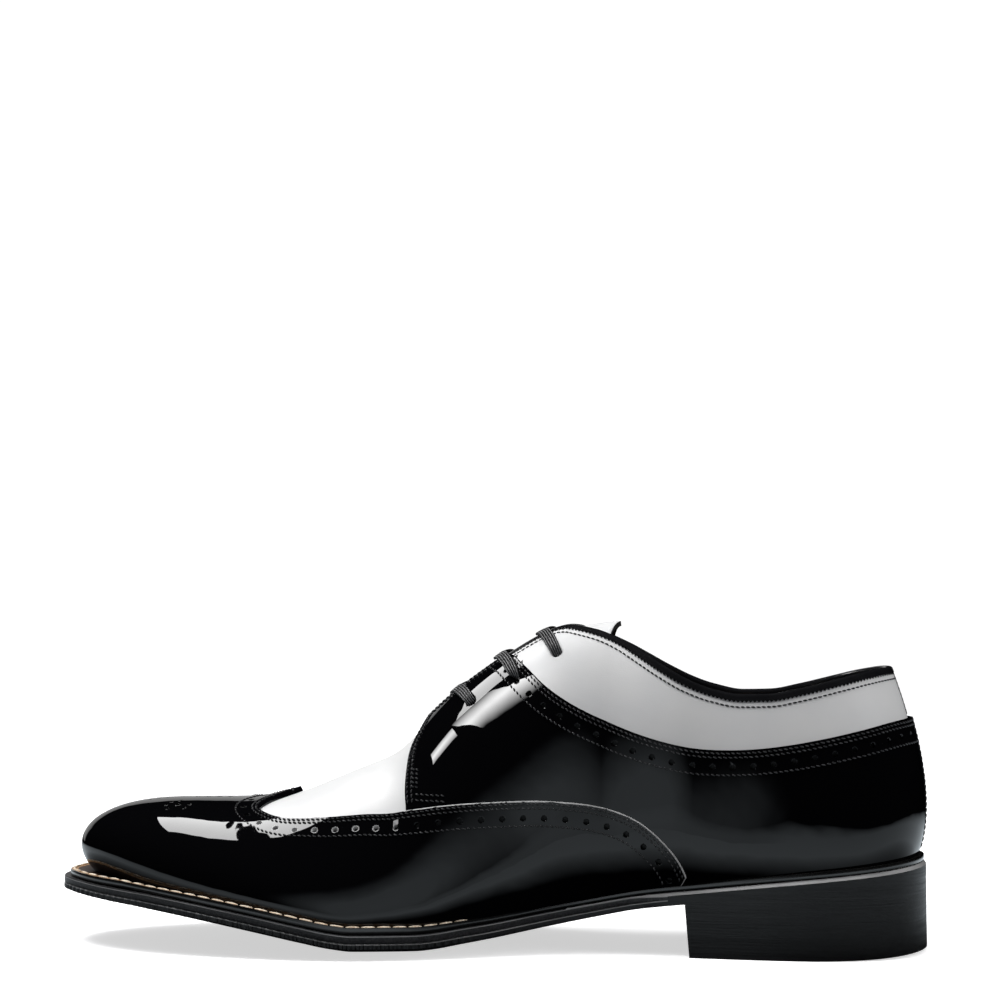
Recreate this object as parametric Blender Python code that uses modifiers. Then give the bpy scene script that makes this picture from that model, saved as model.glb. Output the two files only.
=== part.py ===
import bpy
import bmesh
import numpy as np

for stale in list(bpy.data.objects):
    bpy.data.objects.remove(stale, do_unlink=True)

# Right wing-tip lace-up shoe. Lengths in the tables are millimetres; a station is measured
# forward from the back of the heel, medial is the inner side of the foot.
MM = 0.001
NAME = "oxford_shoe"

GAP = 0.3                # clearance between pieces that meet
LAY = 0.55               # clearance under the leather laid over the upper
WALL = 1.8               # leather and lining of the upper
WING_SKIN = 1.5          # wing tip leather over the upper
QUARTER_SKIN = 1.0       # quarter leather over the upper
HEM = 2.0                # height of the overlays' lower edge above the feather line
BINDING_HEIGHT = 2.4     # rolled edge along the topline and the facings
BINDING_SWELL = 0.5      # rolled edge's reach beyond the wall on each side
CORNER = 2.0             # softness of the corner between facing and topline
BINDING_ROLL = 0.65      # share of the rolled edge's height where it starts to round over
SEAM = 0.014             # half gap of the back seam, as a share of a section
PANEL_GAP = 0.8          # gap between the wing tip and the quarters
SECTION_STEP = 26.0      # usual distance between sections along the last
SIDE_HEIGHT = 85.0       # usual distance up the last from feather line to rim
COLUMNS_PER_SECTION = 3
THROAT_COLUMNS = (7.1667, 7.5, 7.8333)
ROWS_UP = 9
FACING_STEP = 0.16       # spacing of the quarter's points along the facing, in sections
FACING_CORNER = 0.25     # how far the quarter's lower corner is drawn back, in sections
LEAST_RISE = 0.01        # least rim share between a panel's edge and its hem
LEAST_RUN = 0.1          # least distance between a panel's corner and the next point of its hem
TAIL_WIDTH = 0.04        # gap between the wing tip's tail and the quarter's corner, in sections

# Sections of the last, from the back of the heel to the tip of the toe. foot: the feather line
# where the upper meets the welt; top: the ridge of the instep; cone: half width of the last's top;
# belly: how far the side swells out and how high; shoulder: how broad the top is and its drop;
# welt and sole: how far those edges stand out from the feather line.
SECTION_COLUMNS = (
    "foot_station", "foot_medial", "foot_lateral", "top_station", "cone",
    "belly_medial", "belly_lateral", "belly_rise", "shoulder_out", "shoulder_drop",
    "welt_out", "sole_out")
SECTIONS = {
    "heel_back": (4.6, 0.0, 0.0, 22.0, 0.0, 8.0, 8.0, 20.0, 14.0, 26.0, 3.4, 4.2),
    "heel_round": (9.5, -17.5, 17.5, 26.5, 8.5, 7.0, 7.0, 20.0, 13.0, 27.0, 3.2, 3.8),
    "heel_side": (24.0, -28.5, 28.5, 36.0, 15.5, 6.0, 6.0, 19.0, 13.0, 29.0, 3.0, 3.4),
    "seat": (49.0, -31.0, 31.5, 54.0, 18.5, 5.5, 5.5, 18.0, 13.0, 30.0, 2.6, 3.0),
    "breast": (81.0, -28.0, 32.0, 81.0, 17.0, 7.5, 5.5, 17.0, 15.0, 26.0, 2.0, 2.4),
    "waist": (112.0, -25.0, 34.0, 108.0, 0.0, 9.5, 6.0, 16.0, 34.0, 0.0, 1.6, 2.0),
    "arch": (140.0, -29.0, 39.0, 138.0, 0.0, 9.0, 6.0, 14.0, 31.0, 0.0, 2.2, 2.8),
    "joint": (168.0, -39.0, 46.0, 168.0, 0.0, 6.5, 5.0, 12.5, 29.0, 0.0, 4.0, 4.8),
    "ball": (196.0, -45.5, 49.0, 196.0, 0.0, 4.5, 4.5, 12.0, 27.0, 0.0, 5.0, 6.0),
    "tread": (222.0, -45.5, 47.0, 222.0, 0.0, 4.0, 4.0, 11.5, 28.0, 0.0, 5.2, 6.4),
    "vamp": (248.0, -40.5, 39.5, 244.0, 0.0, 4.5, 4.5, 11.5, 26.0, 0.0, 5.6, 7.2),
    "toe_side": (272.0, -30.5, 27.0, 258.0, 0.0, 6.5, 6.5, 11.5, 26.0, 0.0, 6.6, 9.4),
    "toe_corner": (287.5, -18.0, 13.0, 263.0, 0.0, 11.5, 11.5, 12.0, 28.0, 0.0, 7.8, 12.0),
    "toe_tip": (294.5, -3.5, -3.5, 264.5, 0.0, 14.5, 14.5, 12.5, 30.0, 0.0, 8.4, 13.8),
}

# Height of the ridge over the vamp and instep: station, height.
RIDGE = (
    (0.0, 119.5), (60.0, 119.5), (96.0, 119.5), (112.0, 118.2), (123.0, 115.8), (134.0, 111.6),
    (150.0, 101.8), (160.0, 94.2), (171.0, 84.6), (178.0, 77.2), (186.0, 69.2), (196.0, 64.0),
    (206.0, 60.0), (224.0, 52.8), (236.0, 50.0), (250.0, 49.4), (268.0, 49.2))

# Drift of the ridge and toe towards the inner side: station, offset.
RIDGE_DRIFT = ((0.0, 0.0), (222.0, 0.0), (244.0, -1.5), (258.0, -2.8), (264.5, -3.5))

# The sole along its middle: station, tread height, rise of its edges, outsole and welt thickness.
SOLE = (
    (-6.0, 27.2, 0.0, 5.0, 2.4), (22.0, 24.6, 0.0, 5.0, 2.4), (44.0, 22.4, 0.0, 5.0, 2.4),
    (66.0, 20.0, 0.2, 4.8, 2.3), (83.0, 18.0, 0.5, 4.5, 2.1), (100.0, 15.6, 0.8, 4.5, 2.1),
    (117.0, 12.1, 1.0, 4.7, 2.1), (136.0, 8.0, 1.4, 5.0, 2.2), (150.0, 4.8, 2.0, 5.2, 2.4),
    (161.0, 2.5, 2.7, 5.3, 2.6), (170.0, 0.7, 3.2, 5.3, 2.8), (176.0, 0.0, 3.5, 5.3, 2.8),
    (197.0, 0.0, 3.5, 5.3, 2.8), (204.0, 0.8, 3.4, 5.3, 2.8), (214.0, 2.8, 3.3, 5.3, 2.8),
    (230.0, 6.2, 3.0, 5.3, 2.8), (245.0, 9.2, 2.6, 5.2, 2.8), (260.0, 12.0, 2.0, 5.1, 2.7),
    (277.0, 14.8, 1.2, 5.0, 2.6), (292.0, 17.0, 0.6, 4.8, 2.5), (312.0, 19.4, 0.2, 4.6, 2.4))
CREST_SHARE = 0.999      # share from which the last's top is taken as level across
FLAT_SHARE = 0.3         # middle share of the tread's width that is flat across
EDGE_MARGIN = 5.0        # sole's reach beyond the feather line when its width is taken
LEAST_HALF_WIDTH = 12.0

# Side of the outsole from the tread up: inset from its outline, share of its thickness.
OUTSOLE_SIDE = (
    (1.0, 0.0), (0.0, 0.1), (0.0, 0.42), (0.9, 0.47), (0.3, 0.53), (0.3, 1.0))
OUTSOLE_RINGS = (0.28, 0.65)
# Welt from its underside round the outer edge: inset from its outline, share of its thickness.
WELT_SIDE = ((0.4, 0.0), (0.0, 0.2), (0.0, 0.8), (0.4, 1.0))
REBATE = 5.0             # how far inside the feather line the welt reaches

INSOLE_INSET = 2.3
INSOLE_THICK = 2.4

# Heel block: flare of the foot over the top, and the lift of its back edge off the floor.
HEEL_BREAST_TOP = 84.0
HEEL_BREAST_BOTTOM = 82.4
HEEL_FLARE = 1.2
HEEL_SPREAD = 1.01
HEEL_BEVEL_FROM = 46.0
HEEL_BEVEL = 1.6
HEEL_COLUMNS = 14
HEEL_ROWS = 10

# Topline of the collar at the rolled edge's crest: station, medial height, lateral height.
TOPLINE = (
    (0.0, 100.2, 100.2), (13.5, 99.6, 99.6), (20.3, 98.6, 98.3), (31.0, 96.2, 95.5),
    (44.5, 93.0, 92.0), (55.0, 91.1, 90.0), (65.0, 90.9, 89.8), (75.5, 92.9, 91.8),
    (84.0, 96.2, 94.7), (93.0, 101.2, 99.2), (100.0, 105.6, 103.4), (107.0, 109.8, 107.6),
    (115.0, 113.2, 111.4), (123.0, 115.2, 114.2), (132.0, 118.0, 117.6), (140.0, 124.0, 124.0))

# Half gap between the two facings over the tongue: station, half gap.
THROAT = (
    (60.0, 16.0), (112.0, 10.5), (123.0, 9.0), (134.0, 7.8), (150.0, 6.2), (160.0, 5.2),
    (170.0, 4.0), (177.0, 2.2), (183.0, 0.0), (200.0, 0.0))

THROAT_START = 90.0      # station behind which only the topline trims the last
THROAT_END = 183.0       # station of the throat's foot

# Panel edges on the medial side: station, height. The lateral side mirrors them.
WING_EDGE = (
    (234.7, 47.8), (230.8, 46.1), (226.7, 45.3), (217.5, 45.3), (205.3, 46.3), (193.1, 47.6),
    (180.7, 49.1), (173.1, 50.5), (164.6, 51.8), (153.4, 52.8), (141.8, 53.5), (132.7, 53.7),
    (124.5, 53.3), (116.0, 52.4), (107.2, 50.2), (98.5, 46.2), (91.1, 40.0), (85.6, 33.2),
    (83.2, 28.2))
FACING_EDGE = (
    (180.3, 51.3), (181.0, 56.0), (181.1, 60.8), (180.9, 65.6), (180.1, 70.2), (177.5, 75.8))
COLLAR_EDGE = (
    (141.7, 100.4), (134.1, 94.1), (125.3, 88.0), (117.8, 84.0), (104.5, 78.3), (90.5, 74.0),
    (78.8, 71.9), (64.9, 71.6), (51.3, 72.9), (37.9, 75.2), (24.6, 78.0), (11.1, 80.9), (5.6, 81.6))
# Peak of the wing tip on the vamp: station, offset from the ridge.
WING_PEAK = ((222.2, 0.0), (226.5, -3.0), (230.6, -7.0), (233.6, -12.0))
COLLAR_START = 146.5     # station on the facing where the collar panel begins
BINDING_FROM = 6.0       # section on the facing where the rolled edge begins

# Tongue: station, half width, depth below the last.
TONGUE = (
    (108.2, 14.0, 3.8), (114.0, 17.0, 3.6), (123.0, 20.0, 3.2), (140.0, 21.0, 3.1),
    (160.0, 20.0, 2.8), (180.0, 18.0, 2.6), (194.0, 15.0, 2.6))
TONGUE_THICK = 1.8
TONGUE_COLUMNS = 11
TONGUE_ROWS = 5

# Lace bars: station on the ridge, station of the eyelets, offset of the eyelets, and height of
# the bar's underside above the last.
LACE_BARS = {
    "lace_low": (166.2, 158.4, 18.3, 1.9),
    "lace_mid": (150.6, 141.8, 19.2, 1.9),
    "lace_top": (136.0, 126.5, 19.4, 0.9),
}
LACE_WIDTH = 4.4
LACE_THICK = 1.3
LACE_BEND = 1.4          # how soon the bars turn back along the facings
LACE_STEPS = 7

COLOURS = {
    "white_leather": ((0.83, 0.83, 0.82, 1.0), 0.45),
    "black_patent": ((0.008, 0.008, 0.010, 1.0), 0.08),
    "black_edge": ((0.015, 0.015, 0.017, 1.0), 0.35),
    "sole_grey": ((0.06, 0.06, 0.065, 1.0), 0.5),
    "tan_lining": ((0.55, 0.38, 0.22, 1.0), 0.6),
    "black_cord": ((0.02, 0.02, 0.022, 1.0), 0.6),
}

SECTION_COUNT = len(SECTIONS) - 1
LOOP = 2 * SECTION_COUNT


def round_spline(values):
    """Smooth closed curve through evenly numbered rows."""
    rows = np.asarray(values, float)
    count = len(rows)
    eye = np.eye(count)
    band = 4.0 * eye + np.roll(eye, 1, 0) + np.roll(eye, -1, 0)
    slope = np.linalg.solve(band, 3.0 * (np.roll(rows, -1, 0) - np.roll(rows, 1, 0)))

    def at(mark):
        mark = np.asarray(mark, float) % count
        low = np.floor(mark).astype(int) % count
        share = (mark - np.floor(mark))[..., None]
        high = (low + 1) % count
        square, cube = share ** 2, share ** 3
        return ((2 * cube - 3 * square + 1) * rows[low] + (cube - 2 * square + share) * slope[low]
                + (3 * square - 2 * cube) * rows[high] + (cube - square) * slope[high])
    return at


def smooth_table(table):
    """Natural cubic curve through the rows of a two-column table."""
    x = np.array([row[0] for row in table], float)
    y = np.array([row[1] for row in table], float)
    step = np.diff(x)
    size = len(x)
    band = np.eye(size)
    side = np.zeros(size)
    for k in range(1, size - 1):
        band[k, k - 1:k + 2] = step[k - 1], 2 * (step[k - 1] + step[k]), step[k]
        side[k] = 6 * ((y[k + 1] - y[k]) / step[k] - (y[k] - y[k - 1]) / step[k - 1])
    bend = np.linalg.solve(band, side)

    def at(value):
        value = np.clip(np.asarray(value, float), x[0], x[-1])
        k = np.clip(np.searchsorted(x, value) - 1, 0, size - 2)
        right, left, wide = value - x[k], x[k + 1] - value, step[k]
        return (bend[k] * left ** 3 / (6 * wide) + bend[k + 1] * right ** 3 / (6 * wide)
                + (y[k] / wide - bend[k] * wide / 6) * left
                + (y[k + 1] / wide - bend[k + 1] * wide / 6) * right)
    return at


def steady_table(table, column=1):
    """Curve through a table's rows that never swings past them."""
    x = np.array([row[0] for row in table], float)
    y = np.array([row[column] for row in table], float)
    step = np.diff(x)
    rise = np.diff(y) / step
    slope = np.zeros(len(x))
    slope[0], slope[-1] = rise[0], rise[-1]
    for k in range(1, len(x) - 1):
        if rise[k - 1] * rise[k] > 0:
            near = 2 * step[k] + step[k - 1]
            far = step[k] + 2 * step[k - 1]
            slope[k] = (near + far) / (near / rise[k - 1] + far / rise[k])

    def at(value):
        value = np.clip(np.asarray(value, float), x[0], x[-1])
        k = np.clip(np.searchsorted(x, value) - 1, 0, len(x) - 2)
        wide = step[k]
        share = (value - x[k]) / wide
        square, cube = share ** 2, share ** 3
        return ((2 * cube - 3 * square + 1) * y[k] + (cube - 2 * square + share) * wide * slope[k]
                + (3 * square - 2 * cube) * y[k + 1] + (cube - square) * wide * slope[k + 1])
    return at


def loop_rows():
    """Section rows in order round the last: heel, medial side, toe, lateral side."""
    rows = [dict(zip(SECTION_COLUMNS, row)) for row in SECTIONS.values()]
    order = [(row, "medial") for row in rows] + [(row, "lateral") for row in rows[-2:0:-1]]
    return [(row["foot_station"], row["foot_" + side], row["top_station"], row["belly_" + side],
             row["belly_rise"], row["shoulder_out"], row["shoulder_drop"], row["welt_out"],
             row["sole_out"]) for row, side in order]


sections_at = round_spline(loop_rows())
ridge_at = smooth_table(RIDGE)
drift_at = steady_table(RIDGE_DRIFT)
cone_at = steady_table([(place, row[4]) for place, row in enumerate(SECTIONS.values())])
tread_at = steady_table(SOLE, 1)
camber_at = steady_table(SOLE, 2)
outsole_at = steady_table(SOLE, 3)
welt_at = steady_table(SOLE, 4)
throat_at = steady_table(THROAT)
topline_medial = steady_table(TOPLINE, 1)
topline_lateral = steady_table(TOPLINE, 2)

sample_marks = np.linspace(0.0, LOOP, 2001)
sample_feet = sections_at(sample_marks)
medial_half = sample_marks <= SECTION_COUNT


def feather_sides(station):
    """Feather line's medial and lateral offsets at a station."""
    medial = sample_feet[medial_half]
    lateral = sample_feet[~medial_half][::-1]
    return (np.interp(station, medial[:, 0], medial[:, 1]),
            np.interp(station, lateral[:, 0], lateral[:, 1]))


def sole_height(station, offset, outsole_share, welt_share):
    """Height inside the sole's layers over a plan point."""
    medial, lateral = feather_sides(station)
    half = np.maximum((lateral - medial) / 2 + EDGE_MARGIN, LEAST_HALF_WIDTH)
    across = np.abs(offset - (medial + lateral) / 2) / half
    lift = np.clip((across - FLAT_SHARE) / (1 - FLAT_SHARE), 0.0, 1.2) ** 2
    return (tread_at(station) + camber_at(station) * lift
            + outsole_share * outsole_at(station) + welt_share * welt_at(station))


def cone_of(mark):
    """Offset of the last's top from its ridge line, signed by side."""
    folded = np.asarray(mark, float) % LOOP
    return np.where(folded < SECTION_COUNT, -cone_at(folded), cone_at(LOOP - folded))


def last_point(mark, share):
    """Point of the last: mark round it by section number, share from feather line to ridge."""
    row = sections_at(mark)
    cone = cone_of(mark)
    foot = np.stack([row[..., 0], row[..., 1],
                     sole_height(row[..., 0], row[..., 1], 1.0, 1.0) + GAP], -1)
    top = np.stack([row[..., 2], drift_at(row[..., 2]) + cone, ridge_at(row[..., 2])], -1)
    out = foot - top
    out[..., 2] = 0.0
    out /= np.linalg.norm(out, axis=-1, keepdims=True)
    up = np.array([0.0, 0.0, 1.0])
    belly = foot + out * row[..., 3:4] + up * row[..., 4:5]
    shoulder = top + out * row[..., 5:6] - up * row[..., 6:7]
    share = np.asarray(share, float)[..., None]
    rest = 1.0 - share
    return (rest ** 3 * foot + 3 * rest ** 2 * share * belly
            + 3 * rest * share ** 2 * shoulder + share ** 3 * top)


def last_normal(mark, share):
    """Outward direction of the last at a mark and share."""
    nudge = 1e-4
    share = np.clip(share, 0.0, 1.0 - 2 * nudge)
    along = last_point(mark + nudge, share) - last_point(mark - nudge, share)
    rise = last_point(mark, share + nudge) - last_point(mark, share - nudge)
    facing = np.cross(along, rise)
    facing /= np.linalg.norm(facing, axis=-1, keepdims=True)
    crest = last_point(mark, np.ones_like(share))[..., 0]
    slope = (ridge_at(crest + 0.1) - ridge_at(crest - 0.1)) / 0.2
    upright = np.stack([-slope, np.zeros_like(slope), np.ones_like(slope)], -1)
    upright /= np.linalg.norm(upright, axis=-1, keepdims=True)
    closed = (share > CREST_SHARE) & (np.abs(cone_of(mark)) < nudge)
    return np.where(closed[..., None], upright, facing)


def rim_share(mark):
    """Share of the last's height at which the upper ends: topline, facing edge or ridge."""
    shares = np.linspace(0.3, 1.0, 701)
    rims = []
    for one in np.atleast_1d(np.asarray(mark, float)):
        folded = one % LOOP
        lateral = folded > SECTION_COUNT
        points = last_point(np.full(shares.shape, folded), shares)
        topline = topline_lateral if lateral else topline_medial
        over = points[:, 2] - (topline(points[:, 0]) - BINDING_HEIGHT)
        between = throat_at(points[:, 0]) - np.abs(points[:, 1] - drift_at(points[:, 0]))
        past = CORNER * np.logaddexp(over / CORNER, between / CORNER)
        past = np.where(points[:, 0] > THROAT_START, past, over)
        past = np.where(points[-1, 0] > THROAT_END, -1.0, past)
        hit = np.argmax(past > 0) if np.any(past > 0) else -1
        if hit > 0:
            rims.append(shares[hit - 1] + (shares[hit] - shares[hit - 1])
                        * past[hit - 1] / (past[hit - 1] - past[hit]))
        else:
            rims.append(1.0)
    return np.array(rims).reshape(np.shape(mark))


rim_marks = np.linspace(0.0, LOOP, 26 * 24 + 1)
rim_table = rim_share(rim_marks)


def rim_at(mark):
    return np.interp(np.asarray(mark, float) % LOOP, rim_marks, rim_table)


def on_last(station, height):
    """Mark and share of the medial point with this station and height."""
    marks, shares = np.meshgrid(np.linspace(0.0, SECTION_COUNT, 131), np.linspace(0.0, 1.0, 101))
    points = last_point(marks, shares)
    miss = (points[..., 0] - station) ** 2 + (points[..., 2] - height) ** 2
    place = np.unravel_index(np.argmin(miss), miss.shape)
    mark, share = marks[place], shares[place]
    nudge = 1e-4
    for _ in range(8):
        here = last_point(np.array(mark), np.array(share))
        by_mark = (last_point(np.array(mark + nudge), np.array(share)) - here) / nudge
        by_share = (last_point(np.array(mark), np.array(share + nudge)) - here) / nudge
        turn = np.array([[by_mark[0], by_share[0]], [by_mark[2], by_share[2]]])
        move = np.linalg.lstsq(turn, np.array([station - here[0], height - here[2]]), rcond=None)[0]
        mark = mark + np.clip(move[0], -0.2, 0.2)
        share = np.clip(share + np.clip(move[1], -0.1, 0.1), 0.0, 1.0)
    return mark, share


def crest_mark(station):
    """Medial mark whose ridge point has this station."""
    half = sample_feet[medial_half]
    return np.interp(station, half[:, 2], sample_marks[medial_half])


def across(station, offset):
    """Mark and share on the instep at a station and a distance from the ridge line."""
    mark = float(crest_mark(station))
    mark = mark if offset <= 0 else LOOP - mark
    shares = np.linspace(0.4, 1.0, 601)
    reach = np.abs(last_point(np.full(shares.shape, mark), shares)[:, 1] - drift_at(station))
    return mark, float(np.interp(abs(offset), reach[::-1], shares[::-1]))


def through(points, count):
    """Evenly spaced points on a smooth line through a few."""
    points = np.asarray(points, float)
    reach = np.concatenate([[0.0], np.cumsum(np.linalg.norm(np.diff(points, axis=0), axis=1))])
    lines = [smooth_table(list(zip(reach, points[:, k]))) for k in range(points.shape[1])]
    spots = np.linspace(0.0, reach[-1], count)
    return np.stack([line(spots) for line in lines], -1)


def outline_point(mark, out):
    """Plan point that stands a distance out from the feather line."""
    nudge = 1e-3
    mark = np.asarray(mark, float)
    along = sections_at(mark + nudge)[..., :2] - sections_at(mark - nudge)[..., :2]
    along /= np.linalg.norm(along, axis=-1, keepdims=True)
    away = np.stack([along[..., 1], -along[..., 0]], -1)
    return sections_at(mark)[..., :2] + away * np.asarray(out, float)[..., None]


def spine_point(mark):
    """Middle line of the sole that faces a mark on its outline."""
    row = sections_at(mark)
    other = sections_at(LOOP - np.asarray(mark, float))
    return np.stack([row[..., 2], (row[..., 1] + other[..., 1]) / 2], -1)


even_marks = np.linspace(0.0, LOOP, LOOP * COLUMNS_PER_SECTION + 1)
throat_marks = np.array(THROAT_COLUMNS)
marks = np.sort(np.concatenate([even_marks, throat_marks, LOOP - throat_marks]))
sole_edge = outline_point(marks, sections_at(marks)[:, 8])
rearmost = sole_edge[:, 0].min() + OUTSOLE_SIDE[0][0] - HEEL_FLARE
CENTRE_STATION = (rearmost + sole_edge[:, 0].max()) / 2
CENTRE_OFFSET = (sole_edge[:, 1].min() + sole_edge[:, 1].max()) / 2


def placed(points):
    """Row frame in metres from station, offset and height."""
    points = np.asarray(points, float)
    return np.stack([CENTRE_STATION - points[..., 0], points[..., 1] - CENTRE_OFFSET,
                     points[..., 2]], -1) * MM


parts = bpy.data.collections.new(NAME)
bpy.context.scene.collection.children.link(parts)


def material(name):
    found = bpy.data.materials.get(name)
    if found:
        return found
    made = bpy.data.materials.new(name)
    made.use_nodes = True
    shader = made.node_tree.nodes["Principled BSDF"]
    colour, rough = COLOURS[name]
    shader.inputs["Base Color"].default_value = colour
    shader.inputs["Roughness"].default_value = rough
    made.diffuse_color = colour
    return made


def finish(name, bm, finish_name):
    mesh = bpy.data.meshes.new(name)
    bm.to_mesh(mesh)
    bm.free()
    made = bpy.data.objects.new(name, mesh)
    made.data.materials.append(material(finish_name))
    parts.objects.link(made)
    return made


def grid_on(points):
    """Grid whose corners are placed on an array of points."""
    wide, tall = points.shape[0] - 1, points.shape[1] - 1
    bm = bmesh.new()
    bmesh.ops.create_grid(bm, x_segments=wide, y_segments=tall, size=0.5)
    for vert in bm.verts:
        i = int(round((vert.co.x + 0.5) * wide))
        j = int(round((vert.co.y + 0.5) * tall))
        vert.co = points[i, j]
    bmesh.ops.remove_doubles(bm, verts=bm.verts, dist=0.00002)
    bmesh.ops.dissolve_degenerate(bm, edges=bm.edges, dist=0.00001)
    return bm


def face_outward(bm, outward):
    """Turn an open skin so that its faces look outward."""
    bmesh.ops.recalc_face_normals(bm, faces=bm.faces)
    bm.normal_update()
    votes = 0.0
    for face in bm.faces:
        votes += face.normal.dot(outward(face)) * face.calc_area()
    if votes < 0:
        bmesh.ops.reverse_faces(bm, faces=bm.faces)


def thicken(made, thickness, side):
    skin = made.modifiers.new("thickness", "SOLIDIFY")
    skin.thickness = thickness * MM
    skin.offset = side
    skin.use_even_offset = True
    skin.use_quality_normals = True


def solid_loop(name, profile, finish_name):
    """Closed body swept round the last's outline from an array of profile points."""
    bm = grid_on(placed(profile))
    bmesh.ops.recalc_face_normals(bm, faces=bm.faces)
    return finish(name, bm, finish_name)


def away_from_middle(face):
    middle = face.calc_center_median()
    middle.z -= 0.02
    middle.x *= 0.3
    return middle


# The upper, a skin on the last from feather line to rim, thickened inward.
rows_up = np.linspace(0.0, 1.0, ROWS_UP + 1)
grid_marks = np.repeat(marks[:, None], ROWS_UP + 1, 1)
grid_shares = rim_at(marks)[:, None] * rows_up[None, :]
skin = grid_on(placed(last_point(grid_marks, grid_shares)))
face_outward(skin, away_from_middle)
upper = finish("upper", skin, "white_leather")
thicken(upper, WALL, -1.0)


def pattern_piece(outline):
    """Flat pattern of section marks and rim shares, scored along the upper's own grid."""
    bm = bmesh.new()
    bmesh.ops.create_circle(bm, cap_ends=True, segments=len(outline), radius=1.0)
    bm.verts.ensure_lookup_table()
    for vert, spot in zip(list(bm.verts), outline):
        vert.co = (spot[0], spot[1], 0.0)
    low, high = outline[:, 0].min(), outline[:, 0].max()
    for line in marks:
        if low < line < high:
            bmesh.ops.bisect_plane(bm, geom=bm.verts[:] + bm.edges[:] + bm.faces[:], dist=1e-5,
                                   plane_co=(line, 0, 0), plane_no=(1, 0, 0))
    for line in rows_up[1:-1]:
        bmesh.ops.bisect_plane(bm, geom=bm.verts[:] + bm.edges[:] + bm.faces[:], dist=1e-5,
                               plane_co=(0, line, 0), plane_no=(0, 1, 0))
    many = [face for face in bm.faces if len(face.verts) > 4]
    bmesh.ops.triangulate(bm, faces=many)
    return bm


def overlay(name, outline, thickness, finish_name):
    """Leather panel cut to an outline and laid just off the upper."""
    bm = pattern_piece(outline)
    flat = np.array([vert.co[:2] for vert in bm.verts])
    shares = np.clip(flat[:, 1] * rim_at(flat[:, 0]), 0.0, 1.0)
    points = last_point(flat[:, 0], shares) + last_normal(flat[:, 0], shares) * LAY
    for vert, spot in zip(bm.verts, placed(points)):
        vert.co = spot
    bmesh.ops.remove_doubles(bm, verts=bm.verts, dist=0.00005)
    face_outward(bm, away_from_middle)
    made = finish(name, bm, finish_name)
    thicken(made, thickness, 1.0)
    return made


def hem_at(mark):
    """Rim share of the overlays' lower edge."""
    return HEM / (3.0 * sections_at(mark)[..., 4]) / rim_at(mark)


def panel_line(table, count):
    """Edge of a panel as marks and rim shares."""
    spots = np.array([on_last(*row) for row in table])
    line = through(spots, count)
    line[:, 1] = line[:, 1] / rim_at(line[:, 0])
    return line


def mirrored(line):
    return np.stack([LOOP - line[:, 0], line[:, 1]], -1)[::-1]


# Wing tip: hem round the toe, back along the lateral edge to the peak and down the medial edge.
wing_side = panel_line(WING_EDGE, 26)
wing_tail = wing_side[-1, 0]
wing_peak = np.array([across(*spot) for spot in WING_PEAK])
wing_medial = np.concatenate([wing_peak, wing_side[:-1]])
wing_medial = wing_medial[wing_medial[:, 1] > hem_at(wing_medial[:, 0]) + LEAST_RISE]
hem_marks = marks[(marks > wing_tail + LEAST_RUN) & (marks < LOOP - wing_tail - LEAST_RUN)]
hem_marks = np.concatenate([[wing_tail], hem_marks, [LOOP - wing_tail]])
hem_line = np.stack([hem_marks, hem_at(hem_marks)], -1)
ridge_marks = marks[(marks > wing_peak[0, 0] + 0.02) & (marks < LOOP - wing_peak[0, 0] - 0.02)]
ridge_line = np.stack([ridge_marks, np.ones(len(ridge_marks))], -1)[::-1]
wing_outline = np.concatenate([hem_line, mirrored(wing_medial), ridge_line, wing_medial])
overlay("wing_tip", wing_outline, WING_SKIN, "black_patent")


def beside(line, distance):
    """Line that runs a distance to the upper side of a panel line."""
    scale = np.array([SECTION_STEP, SIDE_HEIGHT])
    flat = line * scale
    run = np.gradient(flat, axis=0)
    run /= np.linalg.norm(run, axis=1, keepdims=True)
    away = np.stack([run[:, 1], -run[:, 0]], -1)
    away *= np.where(away[:, 1:2] < 0, -1.0, 1.0)
    return (flat + away * distance) / scale


# Quarters: facing edge, rim of the facing, collar edge, back seam, hem and the wing tip's edge.
facing = panel_line(FACING_EDGE, 7)
collar = panel_line(COLLAR_EDGE, 24)
collar[-1, 0] = SEAM
rim_end = float(crest_mark(COLLAR_START))
facing_rim = np.array([(mark, 1.0) for mark in np.arange(facing[-1, 0] - FACING_STEP, rim_end,
                                                            -FACING_STEP)])
wing_side_edge = beside(wing_side, PANEL_GAP)[::-1]
wing_side_edge = wing_side_edge[wing_side_edge[:, 0] < facing[0, 0] - FACING_CORNER]
wing_side_edge = wing_side_edge[wing_side_edge[:, 1] > hem_at(wing_side_edge[:, 0]) + LEAST_RISE]
quarter_hem = marks[(marks > SEAM) & (marks < wing_side_edge[0, 0] - LEAST_RUN)]
quarter_hem = np.concatenate([[SEAM], quarter_hem, [wing_side_edge[0, 0] - TAIL_WIDTH]])
quarter_hem = np.stack([quarter_hem, hem_at(quarter_hem)], -1)
quarter_outline = np.concatenate([facing, facing_rim, collar, quarter_hem, wing_side_edge])
overlay("quarter_medial", quarter_outline, QUARTER_SKIN, "black_patent")
overlay("quarter_lateral", mirrored(quarter_outline), QUARTER_SKIN, "black_patent")


def sole_ring(out, outsole_share, welt_share, lift=0.0):
    """Loop of sole points at a reach from the feather line."""
    plan = outline_point(marks, out)
    height = sole_height(plan[:, 0], plan[:, 1], outsole_share, welt_share) + lift
    return np.concatenate([plan, height[:, None]], 1)


def inner_ring(out, share, outsole_share, welt_share, lift=0.0):
    """Loop between the sole's middle line and a reach from the feather line."""
    middle = spine_point(marks)
    plan = middle + (outline_point(marks, out) - middle) * share
    height = sole_height(plan[:, 0], plan[:, 1], outsole_share, welt_share) + lift
    return np.concatenate([plan, height[:, None]], 1)


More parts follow.
